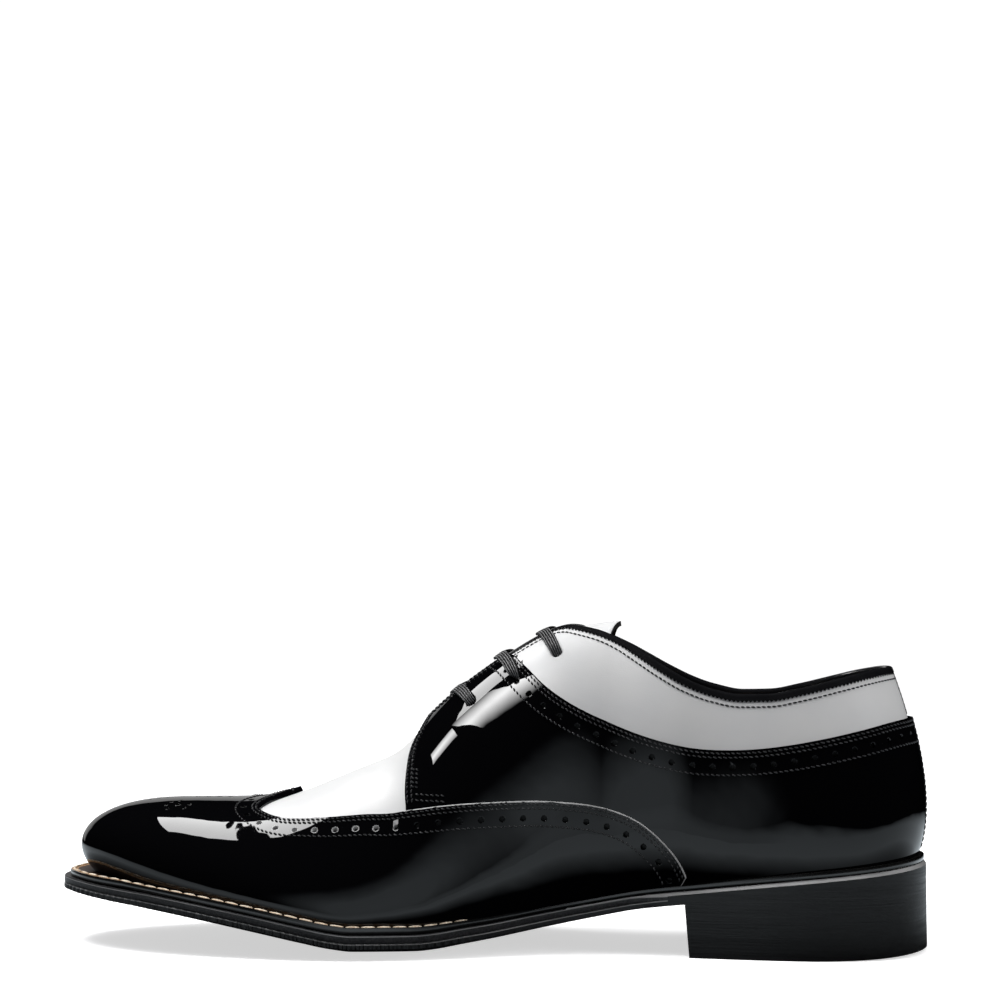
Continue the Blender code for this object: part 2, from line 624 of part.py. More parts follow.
welt_out = sections_at(marks)[:, 7]
sole_out = sections_at(marks)[:, 8]
inside = np.zeros(len(marks))

# Outsole: tread, stepped side, rebate for the welt, and the bed inside the welt.
rings = [inner_ring(sole_out, 0.0, 0.0, 0.0)]
rings += [inner_ring(sole_out - OUTSOLE_SIDE[0][0], share, 0.0, 0.0) for share in OUTSOLE_RINGS]
rings += [sole_ring(sole_out - inset, share, 0.0) for inset, share in OUTSOLE_SIDE]
rings += [sole_ring(inside - REBATE, 1.0, 0.0), sole_ring(inside - REBATE, 1.0, 1.0)]
rings += [inner_ring(inside - REBATE, 0.0, 1.0, 1.0)]
solid_loop("outsole", np.stack(rings, 1), "sole_grey")

# Welt: a strip round the whole shoe on the outsole's margin.
rings = [sole_ring(welt_out - inset, 1.0, share, GAP * (1.0 - share)) for inset, share in WELT_SIDE]
rings += [sole_ring(inside - REBATE + GAP, 1.0, 1.0), sole_ring(inside - REBATE + GAP, 1.0, 0.0, GAP)]
rings += [rings[0]]
solid_loop("welt", np.stack(rings, 1), "black_edge")

# Insole inside the upper, on the bed.
under, over = GAP, GAP + INSOLE_THICK
rings = [inner_ring(inside - INSOLE_INSET, share, 1.0, 1.0, under) for share in (0.0, 1.0)]
rings += [inner_ring(inside - INSOLE_INSET, share, 1.0, 1.0, over) for share in (1.0, 0.0)]
solid_loop("insole", np.stack(rings, 1), "tan_lining")


def close_ends(bm):
    open_edges = [edge for edge in bm.edges if edge.is_boundary]
    capped = bmesh.ops.holes_fill(bm, edges=open_edges, sides=0)["faces"]
    bmesh.ops.triangulate(bm, faces=capped)
    bmesh.ops.recalc_face_normals(bm, faces=bm.faces)


# Heel block: rounded back, straight breast, foot flared a little at the back.
heel_edge = outline_point(sample_marks, sections_at(sample_marks)[:, 8] - OUTSOLE_SIDE[0][0])
heel_medial, heel_lateral = heel_edge[medial_half], heel_edge[~medial_half][::-1]
heel_start = heel_edge[:, 0].min()
slices = []
for share in np.linspace(0.0, 1.0, HEEL_COLUMNS + 1):
    station = heel_start + (HEEL_BREAST_TOP - heel_start) * share ** 2
    foot_start = heel_start - HEEL_FLARE
    foot_station = foot_start + (HEEL_BREAST_BOTTOM - foot_start) * share ** 2
    medial = np.interp(station, heel_medial[:, 0], heel_medial[:, 1])
    lateral = np.interp(station, heel_lateral[:, 0], heel_lateral[:, 1])
    offsets = medial + (lateral - medial) * np.linspace(0.0, 1.0, HEEL_ROWS + 1)
    offsets = offsets * min(1.0, share * 1e6)
    top = sole_height(np.full(offsets.shape, station), offsets, 0.0, 0.0) - GAP
    bevel = HEEL_BEVEL * max(0.0, (HEEL_BEVEL_FROM - foot_station) / HEEL_BEVEL_FROM) ** 2
    upper_side = [(station, offset, height) for offset, height in zip(offsets, top)]
    foot_side = [(foot_station, offset * HEEL_SPREAD, bevel) for offset in offsets[::-1]]
    slices.append(upper_side + foot_side + upper_side[:1])
heel = grid_on(placed(np.array(slices)))
close_ends(heel)
finish("heel", heel, "black_edge")


def instep_strip(spots, rise):
    """Points above or below the instep from an array of stations and offsets."""
    flat = np.array([across(*spot) for row in spots for spot in row])
    points = last_point(flat[:, 0], flat[:, 1]) + last_normal(flat[:, 0], flat[:, 1]) * rise.reshape(-1, 1)
    return points.reshape(len(spots), -1, 3)


# Tongue under the facings, its tip standing above the collar.
half_at, depth_at = steady_table(TONGUE, 1), steady_table(TONGUE, 2)
lengths = np.linspace(TONGUE[0][0], TONGUE[-1][0], TONGUE_COLUMNS + 1)
widths = np.linspace(-1.0, 1.0, 2 * TONGUE_ROWS + 1)
spots = [[(station, share * half_at(station)) for share in widths] for station in lengths]
depths = np.array([[-depth_at(station)] * len(widths) for station in lengths])
tongue_skin = grid_on(placed(instep_strip(spots, depths)))
face_outward(tongue_skin, away_from_middle)
tongue = finish("tongue", tongue_skin, "white_leather")
thicken(tongue, TONGUE_THICK, -1.0)

# Lace: one flat bar over the facings at each pair of eyelets.
for name, (crest_station, eyelet_station, eyelet_offset, bar_rise) in LACE_BARS.items():
    runs = np.linspace(-1.0, 1.0, 2 * LACE_STEPS + 1)
    stations = crest_station + (eyelet_station - crest_station) * np.abs(runs) ** LACE_BEND
    spots = [[(station + side * LACE_WIDTH / 2, run * eyelet_offset) for side in (-1.0, 1.0)]
             for run, station in zip(runs, stations)]
    bar_skin = grid_on(placed(instep_strip(spots, np.full((len(runs), 2), bar_rise))))
    face_outward(bar_skin, away_from_middle)
    bar = finish(name, bar_skin, "black_cord")
    thicken(bar, LACE_THICK, 1.0)

# Rolled edge along the topline, from facing to facing round the heel.
edge_marks = np.arange(-BINDING_FROM, BINDING_FROM + 1e-6, 1.0 / COLUMNS_PER_SECTION)
edge_rims = rim_at(edge_marks)
edge = last_point(edge_marks, edge_rims)
outward = last_normal(edge_marks, edge_rims)
run = np.gradient(edge, axis=0)
rise = np.cross(outward, run)
rise /= np.linalg.norm(rise, axis=1, keepdims=True)
rise *= np.where(rise[:, 2:3] < 0, -1.0, 1.0)
outer, inner = BINDING_SWELL, -WALL - BINDING_SWELL
tall, round_from = BINDING_HEIGHT, BINDING_HEIGHT * BINDING_ROLL
profile = ((outer, LAY), (outer, round_from), (-0.25 * WALL, tall), (-0.75 * WALL, tall),
           (inner, round_from), (inner, LAY), (outer, LAY))
slices = np.stack([edge + outward * side + rise * up for side, up in profile], 1)
binding = grid_on(placed(slices))
close_ends(binding)
finish("collar_binding", binding, "black_edge")
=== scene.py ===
import math

import bmesh
import bpy
import numpy as np
from mathutils import Matrix, Vector, kdtree


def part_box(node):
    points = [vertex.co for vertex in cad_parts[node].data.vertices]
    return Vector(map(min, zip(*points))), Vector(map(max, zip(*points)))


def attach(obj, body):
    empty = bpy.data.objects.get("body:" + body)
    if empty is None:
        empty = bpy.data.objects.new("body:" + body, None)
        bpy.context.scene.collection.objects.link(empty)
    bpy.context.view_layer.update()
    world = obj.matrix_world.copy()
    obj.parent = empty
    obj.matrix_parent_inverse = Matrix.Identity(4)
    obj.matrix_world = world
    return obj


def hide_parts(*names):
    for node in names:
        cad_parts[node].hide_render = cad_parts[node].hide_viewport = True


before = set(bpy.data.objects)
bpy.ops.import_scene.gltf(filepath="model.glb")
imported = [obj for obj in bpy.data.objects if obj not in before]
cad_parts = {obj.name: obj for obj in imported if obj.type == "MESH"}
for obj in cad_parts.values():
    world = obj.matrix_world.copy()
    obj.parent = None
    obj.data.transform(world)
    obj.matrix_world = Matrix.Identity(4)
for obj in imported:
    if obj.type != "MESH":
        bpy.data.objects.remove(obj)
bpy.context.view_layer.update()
print("frame loaded:", len(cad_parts), "nodes")

mm = 0.001

# the last in millimetres: a station runs forward from the heel, an offset towards the outer side
last = {
    # foot station, medial, lateral, top station, cone, belly medial, belly lateral, belly rise,
    # shoulder out, shoulder drop, welt out, sole out
    "sections": (
        (4.6, 0.0, 0.0, 22.0, 0.0, 8.0, 8.0, 20.0, 14.0, 26.0, 3.4, 4.2),
        (9.5, -17.5, 17.5, 26.5, 8.5, 7.0, 7.0, 20.0, 13.0, 27.0, 3.2, 3.8),
        (24.0, -28.5, 28.5, 36.0, 15.5, 6.0, 6.0, 19.0, 13.0, 29.0, 3.0, 3.4),
        (49.0, -31.0, 31.5, 54.0, 18.5, 5.5, 5.5, 18.0, 13.0, 30.0, 2.6, 3.0),
        (81.0, -28.0, 32.0, 81.0, 17.0, 7.5, 5.5, 17.0, 15.0, 26.0, 2.0, 2.4),
        (112.0, -25.0, 34.0, 108.0, 0.0, 9.5, 6.0, 16.0, 34.0, 0.0, 1.6, 2.0),
        (140.0, -29.0, 39.0, 138.0, 0.0, 9.0, 6.0, 14.0, 31.0, 0.0, 2.2, 2.8),
        (168.0, -39.0, 46.0, 168.0, 0.0, 6.5, 5.0, 12.5, 29.0, 0.0, 4.0, 4.8),
        (196.0, -45.5, 49.0, 196.0, 0.0, 4.5, 4.5, 12.0, 27.0, 0.0, 5.0, 6.0),
        (222.0, -45.5, 47.0, 222.0, 0.0, 4.0, 4.0, 11.5, 28.0, 0.0, 5.2, 6.4),
        (248.0, -40.5, 39.5, 244.0, 0.0, 4.5, 4.5, 11.5, 26.0, 0.0, 5.6, 7.2),
        (272.0, -30.5, 27.0, 258.0, 0.0, 6.5, 6.5, 11.5, 26.0, 0.0, 6.6, 9.4),
        (287.5, -18.0, 13.0, 263.0, 0.0, 11.5, 11.5, 12.0, 28.0, 0.0, 7.8, 12.0),
        (294.5, -3.5, -3.5, 264.5, 0.0, 14.5, 14.5, 12.5, 30.0, 0.0, 8.4, 13.8)),
    "ridge": (
        (0.0, 119.5), (60.0, 119.5), (96.0, 119.5), (112.0, 118.2), (123.0, 115.8), (134.0, 111.6),
        (150.0, 101.8), (160.0, 94.2), (171.0, 84.6), (178.0, 77.2), (186.0, 69.2), (196.0, 64.0),
        (206.0, 60.0), (224.0, 52.8), (236.0, 50.0), (250.0, 49.4), (268.0, 49.2)),
    "drift": ((0.0, 0.0), (222.0, 0.0), (244.0, -1.5), (258.0, -2.8), (264.5, -3.5)),
    # station, tread height, rise of the edges, outsole and welt thickness
    "sole": (
        (-6.0, 27.2, 0.0, 5.0, 2.4), (22.0, 24.6, 0.0, 5.0, 2.4), (44.0, 22.4, 0.0, 5.0, 2.4),
        (66.0, 20.0, 0.2, 4.8, 2.3), (83.0, 18.0, 0.5, 4.5, 2.1), (100.0, 15.6, 0.8, 4.5, 2.1),
        (117.0, 12.1, 1.0, 4.7, 2.1), (136.0, 8.0, 1.4, 5.0, 2.2), (150.0, 4.8, 2.0, 5.2, 2.4),
        (161.0, 2.5, 2.7, 5.3, 2.6), (170.0, 0.7, 3.2, 5.3, 2.8), (176.0, 0.0, 3.5, 5.3, 2.8),
        (197.0, 0.0, 3.5, 5.3, 2.8), (204.0, 0.8, 3.4, 5.3, 2.8), (214.0, 2.8, 3.3, 5.3, 2.8),
        (230.0, 6.2, 3.0, 5.3, 2.8), (245.0, 9.2, 2.6, 5.2, 2.8), (260.0, 12.0, 2.0, 5.1, 2.7),
        (277.0, 14.8, 1.2, 5.0, 2.6), (292.0, 17.0, 0.6, 4.8, 2.5), (312.0, 19.4, 0.2, 4.6, 2.4)),
    # station, medial and lateral height of the topline
    "topline": (
        (0.0, 100.2, 100.2), (13.5, 99.6, 99.6), (20.3, 98.6, 98.3), (31.0, 96.2, 95.5),
        (44.5, 93.0, 92.0), (55.0, 91.1, 90.0), (65.0, 90.9, 89.8), (75.5, 92.9, 91.8),
        (84.0, 96.2, 94.7), (93.0, 101.2, 99.2), (100.0, 105.6, 103.4), (107.0, 109.8, 107.6),
        (115.0, 113.2, 111.4), (123.0, 115.2, 114.2), (132.0, 118.0, 117.6), (140.0, 124.0, 124.0)),
    # station, half gap between the facings
    "throat": (
        (60.0, 16.0), (112.0, 10.5), (123.0, 9.0), (134.0, 7.8), (150.0, 6.2), (160.0, 5.2),
        (170.0, 4.0), (177.0, 2.2), (183.0, 0.0), (200.0, 0.0)),
    "throatStart": 90.0, "throatEnd": 183.0, "corner": 2.0,
    "gap": 0.3, "wall": 1.8, "flatShare": 0.3, "mostReach": 1.2, "edgeMargin": 5.0, "leastHalf": 12.0,
    "columnStep": 26.0, "sideHeight": 85.0,
}
binding = {
    "height": 2.4, "swell": 0.5, "from": 6.3, "sides": 12, "columns": 312,
    "foot": -0.15, "crown": 0.9, "squareness": 0.7,
    "toothPitch": 0.72, "toothTop": 0.0, "toothFoot": 0.8, "lift": 0.3, "stripTop": 0.3, "stripIn": 0.2,
    "stitchRow": 2.3, "stitchSlant": 6.0, "stitchRun": (6.25, 0.02),
}
# how finely the last is searched: points round it and per section, shares up its sides, solver steps
search = {
    "round": 2001, "rimPerSection": 24, "edgePerSection": 3, "solePerSection": 64,
    "rimShares": (0.3, 1.0, 701), "instepShares": (0.4, 1.0, 601), "marks": 131, "shares": 101,
    "steps": 8, "markStep": 0.2, "shareStep": 0.1,
}
sectionCount = len(last["sections"]) - 1
loopLength = 2 * sectionCount


def unit(vectors):
    return vectors / np.linalg.norm(vectors, axis=-1, keepdims=True)


# distance along a line, up to each of its points
def runLength(points):
    return np.concatenate([[0.0], np.cumsum(np.linalg.norm(np.diff(points, axis=0), axis=1))])


# smooth closed curve through evenly numbered rows
def roundSpline(values):
    rows = np.asarray(values, float)
    count = len(rows)
    eye = np.eye(count)
    band = 4.0 * eye + np.roll(eye, 1, 0) + np.roll(eye, -1, 0)
    slope = np.linalg.solve(band, 3.0 * (np.roll(rows, -1, 0) - np.roll(rows, 1, 0)))

    def at(mark):
        mark = np.asarray(mark, float) % count
        low = np.floor(mark).astype(int) % count
        t = (mark - np.floor(mark))[..., None]
        high = (low + 1) % count
        return ((2 * t ** 3 - 3 * t ** 2 + 1) * rows[low] + (t ** 3 - 2 * t ** 2 + t) * slope[low]
                + (3 * t ** 2 - 2 * t ** 3) * rows[high] + (t ** 3 - t ** 2) * slope[high])
    return at


# natural cubic curve through a table of two columns
def smoothTable(table):
    x = np.array([row[0] for row in table], float)
    y = np.array([row[1] for row in table], float)
    step = np.diff(x)
    size = len(x)
    band = np.eye(size)
    side = np.zeros(size)
    for k in range(1, size - 1):
        band[k, k - 1:k + 2] = step[k - 1], 2 * (step[k - 1] + step[k]), step[k]
        side[k] = 6 * ((y[k + 1] - y[k]) / step[k] - (y[k] - y[k - 1]) / step[k - 1])
    bend = np.linalg.solve(band, side)

    def at(value):
        value = np.clip(np.asarray(value, float), x[0], x[-1])
        k = np.clip(np.searchsorted(x, value) - 1, 0, size - 2)
        right, left, wide = value - x[k], x[k + 1] - value, step[k]
        return (bend[k] * left ** 3 / (6 * wide) + bend[k + 1] * right ** 3 / (6 * wide)
                + (y[k] / wide - bend[k] * wide / 6) * left
                + (y[k + 1] / wide - bend[k + 1] * wide / 6) * right)
    return at


# curve through a table's rows that never swings past them
def steadyTable(table, column=1):
    x = np.array([row[0] for row in table], float)
    y = np.array([row[column] for row in table], float)
    step = np.diff(x)
    rise = np.diff(y) / step
    slope = np.zeros(len(x))
    slope[0], slope[-1] = rise[0], rise[-1]
    for k in range(1, len(x) - 1):
        if rise[k - 1] * rise[k] > 0:
            near = 2 * step[k] + step[k - 1]
            far = step[k] + 2 * step[k - 1]
            slope[k] = (near + far) / (near / rise[k - 1] + far / rise[k])

    def at(value):
        value = np.clip(np.asarray(value, float), x[0], x[-1])
        k = np.clip(np.searchsorted(x, value) - 1, 0, len(x) - 2)
        wide = step[k]
        t = (value - x[k]) / wide
        return ((2 * t ** 3 - 3 * t ** 2 + 1) * y[k] + (t ** 3 - 2 * t ** 2 + t) * wide * slope[k]
                + (3 * t ** 2 - 2 * t ** 3) * y[k + 1] + (t ** 3 - t ** 2) * wide * slope[k + 1])
    return at


# rows round the last: heel, medial side, toe, lateral side
def loopRows():
    rows = last["sections"]
    order = [(row, 1, 5) for row in rows] + [(row, 2, 6) for row in rows[-2:0:-1]]
    return [(row[0], row[side], row[3], row[belly], row[7], row[8], row[9], row[10], row[11])
            for row, side, belly in order]


sectionsAt = roundSpline(loopRows())
ridgeAt = smoothTable(last["ridge"])
driftAt = steadyTable(last["drift"])
coneAt = steadyTable([(place, row[4]) for place, row in enumerate(last["sections"])])
treadAt, camberAt, outsoleAt, weltAt = [steadyTable(last["sole"], k) for k in (1, 2, 3, 4)]
throatAt = steadyTable(last["throat"])
toplineAt = [steadyTable(last["topline"], k) for k in (1, 2)]
sampleMarks = np.linspace(0.0, loopLength, search["round"])
sampleFeet = sectionsAt(sampleMarks)
medialHalf = sampleMarks <= sectionCount


def featherSides(station):
    medial = sampleFeet[medialHalf]
    lateral = sampleFeet[~medialHalf][::-1]
    return (np.interp(station, medial[:, 0], medial[:, 1]),
            np.interp(station, lateral[:, 0], lateral[:, 1]))


# height inside the sole's layers over a plan point
def soleHeight(station, offset, outsoleShare, weltShare):
    medial, lateral = featherSides(station)
    half = np.maximum((lateral - medial) / 2 + last["edgeMargin"], last["leastHalf"])
    reach = np.abs(offset - (medial + lateral) / 2) / half
    lift = np.clip((reach - last["flatShare"]) / (1 - last["flatShare"]), 0.0, last["mostReach"]) ** 2
    return (treadAt(station) + camberAt(station) * lift
            + outsoleShare * outsoleAt(station) + weltShare * weltAt(station))


def coneOf(mark):
    folded = np.asarray(mark, float) % loopLength
    return np.where(folded < sectionCount, -coneAt(folded), coneAt(loopLength - folded))


# point of the last: mark round it by section number, share from feather line to ridge
def lastPoint(mark, share):
    row = sectionsAt(mark)
    foot = np.stack([row[..., 0], row[..., 1],
                     soleHeight(row[..., 0], row[..., 1], 1.0, 1.0) + last["gap"]], -1)
    top = np.stack([row[..., 2], driftAt(row[..., 2]) + coneOf(mark), ridgeAt(row[..., 2])], -1)
    out = foot - top
    out[..., 2] = 0.0
    out = unit(out)
    up = np.array([0.0, 0.0, 1.0])
    belly = foot + out * row[..., 3:4] + up * row[..., 4:5]
    shoulder = top + out * row[..., 5:6] - up * row[..., 6:7]
    share = np.asarray(share, float)[..., None]
    rest = 1.0 - share
    return (rest ** 3 * foot + 3 * rest ** 2 * share * belly
            + 3 * rest * share ** 2 * shoulder + share ** 3 * top)


# small steps for slopes, in marks and shares and in millimetres
nudge = 1e-4
planStep = 1e-3
crestStep = 0.1
nearRidge = 0.999


def lastNormal(mark, share):
    share = np.clip(share, 0.0, 1.0 - 2 * nudge)
    along = lastPoint(mark + nudge, share) - lastPoint(mark - nudge, share)
    rise = lastPoint(mark, share + nudge) - lastPoint(mark, share - nudge)
    facing = unit(np.cross(along, rise))
    crest = lastPoint(mark, np.ones_like(share))[..., 0]
    slope = (ridgeAt(crest + crestStep) - ridgeAt(crest - crestStep)) / (2 * crestStep)
    upright = unit(np.stack([-slope, np.zeros_like(slope), np.ones_like(slope)], -1))
    closed = (share > nearRidge) & (np.abs(coneOf(mark)) < nudge)
    return np.where(closed[..., None], upright, facing)


# share of the last's height at which the upper ends: topline, facing edge or ridge
def rimShare(mark):
    shares = np.linspace(*search["rimShares"])
    rims = []
    for one in np.atleast_1d(np.asarray(mark, float)):
        folded = one % loopLength
        points = lastPoint(np.full(shares.shape, folded), shares)
        topline = toplineAt[1 if folded > sectionCount else 0]
        over = points[:, 2] - (topline(points[:, 0]) - binding["height"])
        between = throatAt(points[:, 0]) - np.abs(points[:, 1] - driftAt(points[:, 0]))
        past = last["corner"] * np.logaddexp(over / last["corner"], between / last["corner"])
        past = np.where(points[:, 0] > last["throatStart"], past, over)
        past = np.where(points[-1, 0] > last["throatEnd"], -1.0, past)
        hit = np.argmax(past > 0) if np.any(past > 0) else -1
        if hit > 0:
            rims.append(shares[hit - 1] + (shares[hit] - shares[hit - 1])
                        * past[hit - 1] / (past[hit - 1] - past[hit]))
        else:
            rims.append(1.0)
    return np.array(rims)


rimMarks = np.linspace(0.0, loopLength, loopLength * search["rimPerSection"] + 1)
rimTable = rimShare(rimMarks)


def rimAt(mark):
    return np.interp(np.asarray(mark, float) % loopLength, rimMarks, rimTable)


# mark and share where the wanted coordinates of the medial side have these values
def onLast(first, second, axes=(0, 2), markRange=(0.0, sectionCount), shareRange=(0.0, 1.0)):
    marks, shares = np.meshgrid(np.linspace(*markRange, search["marks"]),
                                np.linspace(*shareRange, search["shares"]))
    points = lastPoint(marks, shares)
    miss = (points[..., axes[0]] - first) ** 2 + (points[..., axes[1]] - second) ** 2
    place = np.unravel_index(np.argmin(miss), miss.shape)
    mark, share = marks[place], shares[place]
    want = np.array([first, second])
    for _ in range(search["steps"]):
        here = lastPoint(np.array(mark), np.array(share))
        byMark = (lastPoint(np.array(mark + nudge), np.array(share)) - here) / nudge
        byShare = (lastPoint(np.array(mark), np.array(share + nudge)) - here) / nudge
        turn = np.array([[byMark[k], byShare[k]] for k in axes])
        move = np.linalg.lstsq(turn, want - here[list(axes)], rcond=None)[0]
        mark = mark + np.clip(move[0], -search["markStep"], search["markStep"])
        share = np.clip(share + np.clip(move[1], -search["shareStep"], search["shareStep"]), 0.0, 1.0)
    return mark, share


def crestMark(station):
    half = sampleFeet[medialHalf]
    return float(np.interp(station, half[:, 2], sampleMarks[medialHalf]))


# mark and share on the instep at a station and a distance from the ridge
def across(station, offset):
    mark = crestMark(station)
    mark = mark if offset <= 0 else loopLength - mark
    shares = np.linspace(*search["instepShares"])
    reach = np.abs(lastPoint(np.full(shares.shape, mark), shares)[:, 1] - driftAt(station))
    return mark, float(np.interp(abs(offset), reach[::-1], shares[::-1]))


patternScale = np.array([last["columnStep"], last["sideHeight"]])


# evenly spaced points on a smooth line through a few
def through(points, count):
    points = np.asarray(points, float) * patternScale
    reach = runLength(points)
    spots = np.linspace(0.0, reach[-1], count)
    lines = [smoothTable(list(zip(reach, points[:, k]))) for k in range(2)]
    return np.stack([line(spots) for line in lines], -1) / patternScale


def outlinePoint(mark, out):
    mark = np.asarray(mark, float)
    along = unit(sectionsAt(mark + planStep)[..., :2] - sectionsAt(mark - planStep)[..., :2])
    away = np.stack([along[..., 1], -along[..., 0]], -1)
    return sectionsAt(mark)[..., :2] + away * np.asarray(out, float)[..., None]


def spinePoint(mark):
    row = sectionsAt(mark)
    other = sectionsAt(loopLength - np.asarray(mark, float))
    return np.stack([row[..., 2], (row[..., 1] + other[..., 1]) / 2], -1)


# the row frame from the outsole's own box
coarseMarks = np.linspace(0.0, loopLength, loopLength * search["edgePerSection"] + 1)
coarseEdge = outlinePoint(coarseMarks, sectionsAt(coarseMarks)[:, 8])
centreStation = coarseEdge[:, 0].max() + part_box("outsole")[0].x / mm
centreOffset = coarseEdge[:, 1].min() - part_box("outsole")[0].y / mm


def placed(points):
    points = np.asarray(points, float)
    return np.stack([centreStation - points[..., 0], points[..., 1] - centreOffset,
                     points[..., 2]], -1) * mm


# line on the last, moved sideways over the leather by a distance
def offsetLine(line, distance, steps=6):
    line = np.array(line, float)
    for _ in range(steps):
        mark, share = line[:, 0], line[:, 1]
        here = lastPoint(mark, share)
        run = unit(np.gradient(here, axis=0))
        side = np.cross(lastNormal(mark, share), run)
        byMark = (lastPoint(mark + nudge, share) - lastPoint(mark - nudge, share)) / (2 * nudge)
        byShare = (lastPoint(mark, share + nudge) - lastPoint(mark, share - nudge)) / (2 * nudge)
        for k in range(len(line)):
            turn = np.stack([byMark[k], byShare[k]], 1)
            line[k] += np.linalg.lstsq(turn, side[k] * distance / steps, rcond=None)[0]
    return line[(line[:, 1] <= 1.0) & (line[:, 1] >= 0.0)]


# marks and shares at a pitch along a line on the last
def spaced(line, pitch, start=0.5):
    points = lastPoint(line[:, 0], line[:, 1])
    reach = runLength(points)
    spots = np.arange(pitch * start, reach[-1], pitch)
    return np.stack([np.interp(spots, reach, line[:, k]) for k in range(2)], -1)


def mirrored(line):
    return np.stack([loopLength - line[:, 0], line[:, 1]], -1)[::-1]


# rim share instead of share, the flat pattern's second coordinate
def toPattern(line):
    return np.stack([line[:, 0], line[:, 1] / rimAt(line[:, 0])], -1)


print("last ready: centre station", round(float(centreStation), 2))

collection = bpy.data.collections.new("oxford_shoe_look")
bpy.context.scene.collection.children.link(collection)


# materials
def blank(name, colour, rough):
    made = bpy.data.materials.new(name)
    made.use_nodes = True
    shader = made.node_tree.nodes["Principled BSDF"]
    shader.inputs["Base Color"].default_value = (*colour, 1.0)
    shader.inputs["Roughness"].default_value = rough
    return made, made.node_tree, shader


def objectCoords(tree, scale=(1.0, 1.0, 1.0)):
    coords = tree.nodes.new("ShaderNodeTexCoord")
    mapping = tree.nodes.new("ShaderNodeMapping")
    mapping.inputs["Scale"].default_value = scale
    tree.links.new(coords.outputs["Object"], mapping.inputs["Vector"])
    return mapping.outputs["Vector"]


def noise(tree, vector, scale, detail=3.0, rough=0.5):
    node = tree.nodes.new("ShaderNodeTexNoise")
    node.inputs["Scale"].default_value = scale
    node.inputs["Detail"].default_value = detail
    node.inputs["Roughness"].default_value = rough
    tree.links.new(vector, node.inputs["Vector"])
    return node.outputs["Fac"]


def bump(tree, height, strength, distance, after=None):
    node = tree.nodes.new("ShaderNodeBump")
    node.inputs["Strength"].default_value = strength
    node.inputs["Distance"].default_value = distance
    tree.links.new(height, node.inputs["Height"])
    if after is not None:
        tree.links.new(after, node.inputs["Normal"])
    return node.outputs["Normal"]


# blend between two colours or values along a texture
def ramp(tree, fac, low, high, colours):
    node = tree.nodes.new("ShaderNodeValToRGB")
    node.color_ramp.elements[0].position = low
    node.color_ramp.elements[1].position = high
    for element, colour in zip(node.color_ramp.elements, colours):
        element.color = (*colour, 1.0)
    tree.links.new(fac, node.inputs["Fac"])
    return node.outputs["Color"]


def grey(value):
    return (value, value, value)


def patentLeather():
    made, tree, shader = blank("patentLeather", (0.0016, 0.0016, 0.002), 0.4)
    shader.inputs["Coat Weight"].default_value = 1.0
    shader.inputs["Coat Roughness"].default_value = 0.015
    shader.inputs["Coat IOR"].default_value = 1.42
    shader.inputs["Specular IOR Level"].default_value = 0.0
    vector = objectCoords(tree)
    waves = bump(tree, noise(tree, vector, 52.0, 0.0), 0.42, 0.0006)
    ripples = bump(tree, noise(tree, vector, 150.0, 0.5), 0.22, 0.0003, waves)
    tree.links.new(ripples, shader.inputs["Coat Normal"])
    tree.links.new(ripples, shader.inputs["Normal"])
    return made


def whiteLeather():
    made, tree, shader = blank("whiteLeather", (0.72, 0.72, 0.715), 0.38)
    vector = objectCoords(tree)
    cells = tree.nodes.new("ShaderNodeTexVoronoi")
    cells.feature = "DISTANCE_TO_EDGE"
    cells.inputs["Scale"].default_value = 1500.0
    tree.links.new(vector, cells.inputs["Vector"])
    tone = ramp(tree, noise(tree, vector, 45.0, 4.0), 0.3, 0.75,
                ((0.7, 0.705, 0.71), (0.75, 0.75, 0.745)))
    tree.links.new(tone, shader.inputs["Base Color"])
    sheen = ramp(tree, noise(tree, vector, 260.0, 3.0), 0.3, 0.7, (grey(0.32), grey(0.44)))
    tree.links.new(sheen, shader.inputs["Roughness"])
    grain = bump(tree, cells.outputs["Distance"], 0.12, 0.0002)
    soft = bump(tree, noise(tree, vector, 120.0, 2.0), 0.12, 0.0006, grain)
    tree.links.new(soft, shader.inputs["Normal"])
    return made


def plainLeather(name, low, high, rough, grainScale=900.0, coat=0.0):
    made, tree, shader = blank(name, high, rough)
    vector = objectCoords(tree)
    tone = ramp(tree, noise(tree, vector, 70.0, 5.0), 0.3, 0.7, (low, high))
    tree.links.new(tone, shader.inputs["Base Color"])
    shader.inputs["Coat Weight"].default_value = coat
    shader.inputs["Coat Roughness"].default_value = 0.15
    grain = bump(tree, noise(tree, vector, grainScale, 3.0), 0.2, 0.0002)
    tree.links.new(grain, shader.inputs["Normal"])
    return made


# welt top: raw tan leather round the forefoot, inked black towards the waist and heel
def weltLeather():
    made, tree, shader = blank("weltTop", (0.4, 0.22, 0.11), 0.5)
    vector = objectCoords(tree)
    grainy = noise(tree, vector, 900.0, 4.0)
    tone = ramp(tree, grainy, 0.3, 0.7, ((0.22, 0.11, 0.05), (0.5, 0.31, 0.16)))
    spread = tree.nodes.new("ShaderNodeSeparateXYZ")
    tree.links.new(vector, spread.inputs["Vector"])
    inked = tree.nodes.new("ShaderNodeMapRange")
    inked.inputs["From Min"].default_value = -0.035
    inked.inputs["From Max"].default_value = 0.0
    tree.links.new(spread.outputs["X"], inked.inputs["Value"])
    mix = tree.nodes.new("ShaderNodeMix")
    mix.data_type = "RGBA"
    mix.inputs["B"].default_value = (0.01, 0.01, 0.01, 1.0)
    tree.links.new(inked.outputs["Result"], mix.inputs["Factor"])
    tree.links.new(tone, mix.inputs["A"])
    tree.links.new(mix.outputs["Result"], shader.inputs["Base Color"])
    tree.links.new(bump(tree, grainy, 0.3, 0.0003), shader.inputs["Normal"])
    return made


